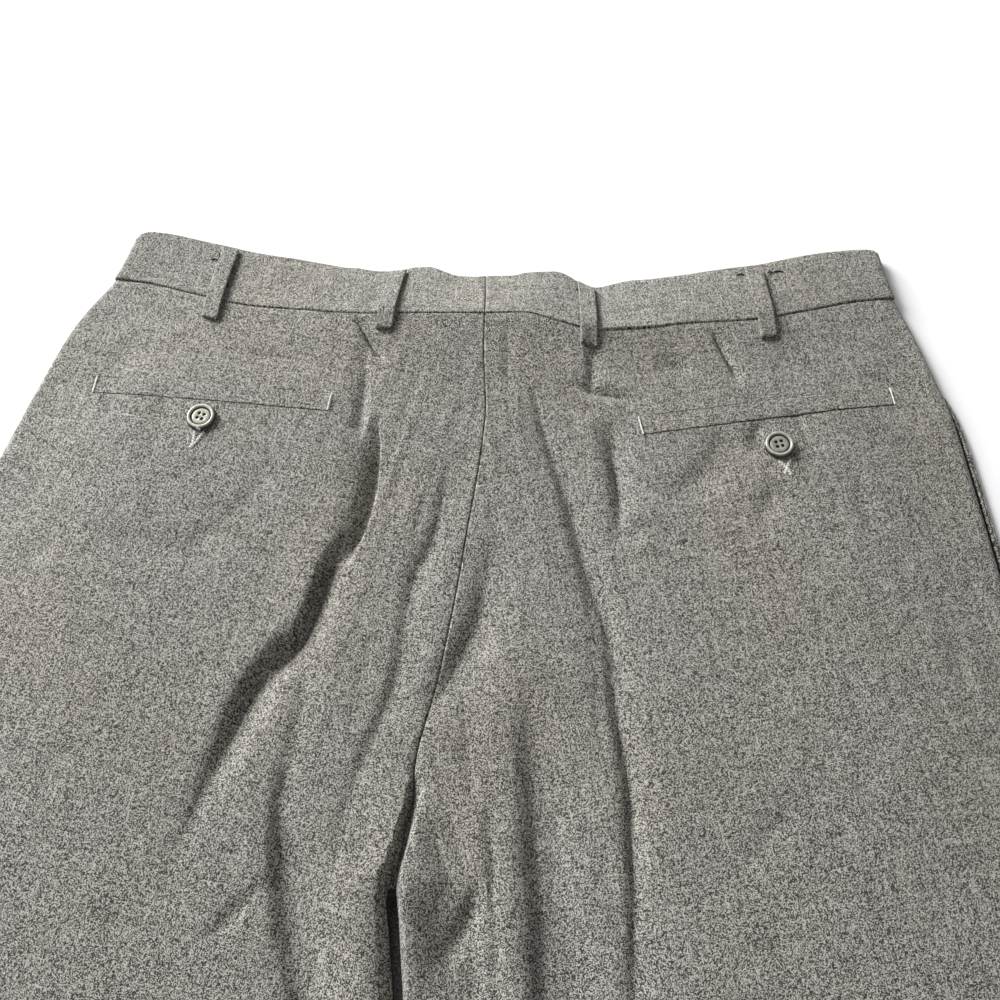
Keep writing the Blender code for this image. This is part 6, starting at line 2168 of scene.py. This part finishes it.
@dataclass
class UnderCloth:
    """A piece of cloth under the back: a sheet on its solid's own form, a little uneven on top."""

    name: str
    node: str
    finish: ClothFinish = FLAT_SUITING
    spacing: float = 11.0
    unevenness: float = 0.16

    def build(self, frame: dict) -> Piece:
        """Makes the piece.


        Returns:
            The piece as a closed shell.
        """
        solid = frame["nodes"][self.node]
        mesh = solid.data.copy()
        mesh.transform(solid.matrix_world)
        piece = bpy.data.objects.new(self.name, mesh)
        bpy.context.scene.collection.objects.link(piece)
        work = bmesh.new()
        work.from_mesh(mesh)
        bmesh.ops.remove_doubles(work, verts=work.verts, dist=1e-6)
        corners = np.array([corner.co[:] for corner in work.verts]) / MM
        for axis in (0, 1):
            low, high = corners[:, axis].min(), corners[:, axis].max()
            ahead = Vector((1.0 - axis, float(axis), 0.0))
            for place in np.arange(low + self.spacing, high - 1.0, self.spacing):
                parts = list(work.verts) + list(work.edges) + list(work.faces)
                bmesh.ops.bisect_plane(work, geom=parts, dist=1e-7, plane_co=ahead * float(place) * MM, plane_no=ahead)
        for corner in work.verts:
            x, y, z = corner.co[0] / MM, corner.co[1] / MM, corner.co[2] / MM
            if z > 0.5:
                bump = float(lattice_noise(np.array([x]), np.array([y]), 26.0, 40.0, 21)[0])
                corner.co[2] -= self.unevenness * (0.5 + 0.5 * max(min(bump, 1.0), -1.0)) * MM
        work.to_mesh(mesh)
        work.free()
        select_only(piece)
        bpy.ops.object.shade_smooth_by_angle(angle=math.radians(35.0))
        return dress(piece, self.finish, (self.node,))


@dataclass
class FlyZip:
    """The closed zip of the fly, whose solid stays."""

    def build(self, frame: dict) -> None:
        """Gives the zip's solid its tape material.
        """
        node = frame["nodes"]["zip"]
        node.data.materials.clear()
        node.data.materials.append(ZIP_TAPE.material())
        LOG.info("zip: kept, in %s", ZIP_TAPE.name)


@dataclass
class Studio:
    """The floor, the soft lights and the camera."""

    camera_place: Point = (0.0115, 0.166, 0.476)
    camera_tilt: float = 25.0
    lens: float = 36.0
    key_place: Point = (-2.75, 2.875, 1.69)
    key_size: float = 2.0
    key_power: float = 392.0
    key_aim: Point = (0.0, 0.33, 0.0)
    sky: float = 0.3
    floor_size: float = 8.0

    def build(self) -> None:
        """Sets the studio up."""
        deselect_all()
        bpy.ops.mesh.primitive_plane_add(size=self.floor_size, location=(0.0, 0.0, -0.0002))
        floor = named("floor")
        floor.data.materials.append(FLOOR.material())
        bpy.ops.object.light_add(type="AREA", location=self.key_place)
        key = named("key_light")
        key.data.energy = self.key_power
        key.data.size = self.key_size
        aim = Vector(self.key_aim) - Vector(self.key_place)
        key.rotation_euler = aim.to_track_quat("-Z", "Y").to_euler()
        world = bpy.data.worlds.new("studio")
        world.use_nodes = True
        light = {"Color": (1.0, 1.0, 1.0, 1.0), "Strength": self.sky}
        Wiring(world.node_tree).feed(world.node_tree.nodes["Background"], light)
        bpy.context.scene.world = world
        bpy.ops.object.camera_add(location=self.camera_place, rotation=(math.radians(self.camera_tilt), 0.0, 0.0))
        camera = named("camera")
        camera.data.lens = self.lens
        camera.data.sensor_width = 36.0
        camera.data.clip_start = 0.01
        bpy.context.scene.camera = camera
        bpy.context.scene.view_settings.view_transform = "Standard"


# Pieces of cloth under the back, each with the solid whose form it takes.
UNDER_CLOTHS = (
    ("front_panel_left", "front_left"),
    ("front_panel_right", "front_right"),
    ("front_loop_left", "belt_loop_5"),
    ("front_loop_right", "belt_loop_6"),
    ("side_facing_left", "pocket_facing_left"),
)


def main() -> None:
    """Loads the frame and builds the finished garment over it."""
    logging.basicConfig(level=logging.INFO, format="%(name)s: %(message)s")
    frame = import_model()
    bands = {side: Waistband(side) for side in Side}
    for name, node in UNDER_CLOTHS:
        UnderCloth(name, node).build(frame)
    for side in Side:
        BackPanel(side).build()
    for band in bands.values():
        band.build()
    for number, seam_x, top_lean, below_top, below_seam in BACK_LOOPS:
        BeltLoop(number, seam_x, top_lean, below_top, below_seam, bands).build()
    for side, outer_x, outer_y, inner_x, inner_y, button_x, button_y, turn in BACK_POCKETS:
        WeltPocket(side, (outer_x, outer_y), (inner_x, inner_y), (button_x, button_y), turn).build()
    SideEdge().build()
    CrotchGapShade().build()
    LooseTacks(bands).build()
    FlyZip().build(frame)
    Studio().build()


if __name__ == "__main__":
    main()
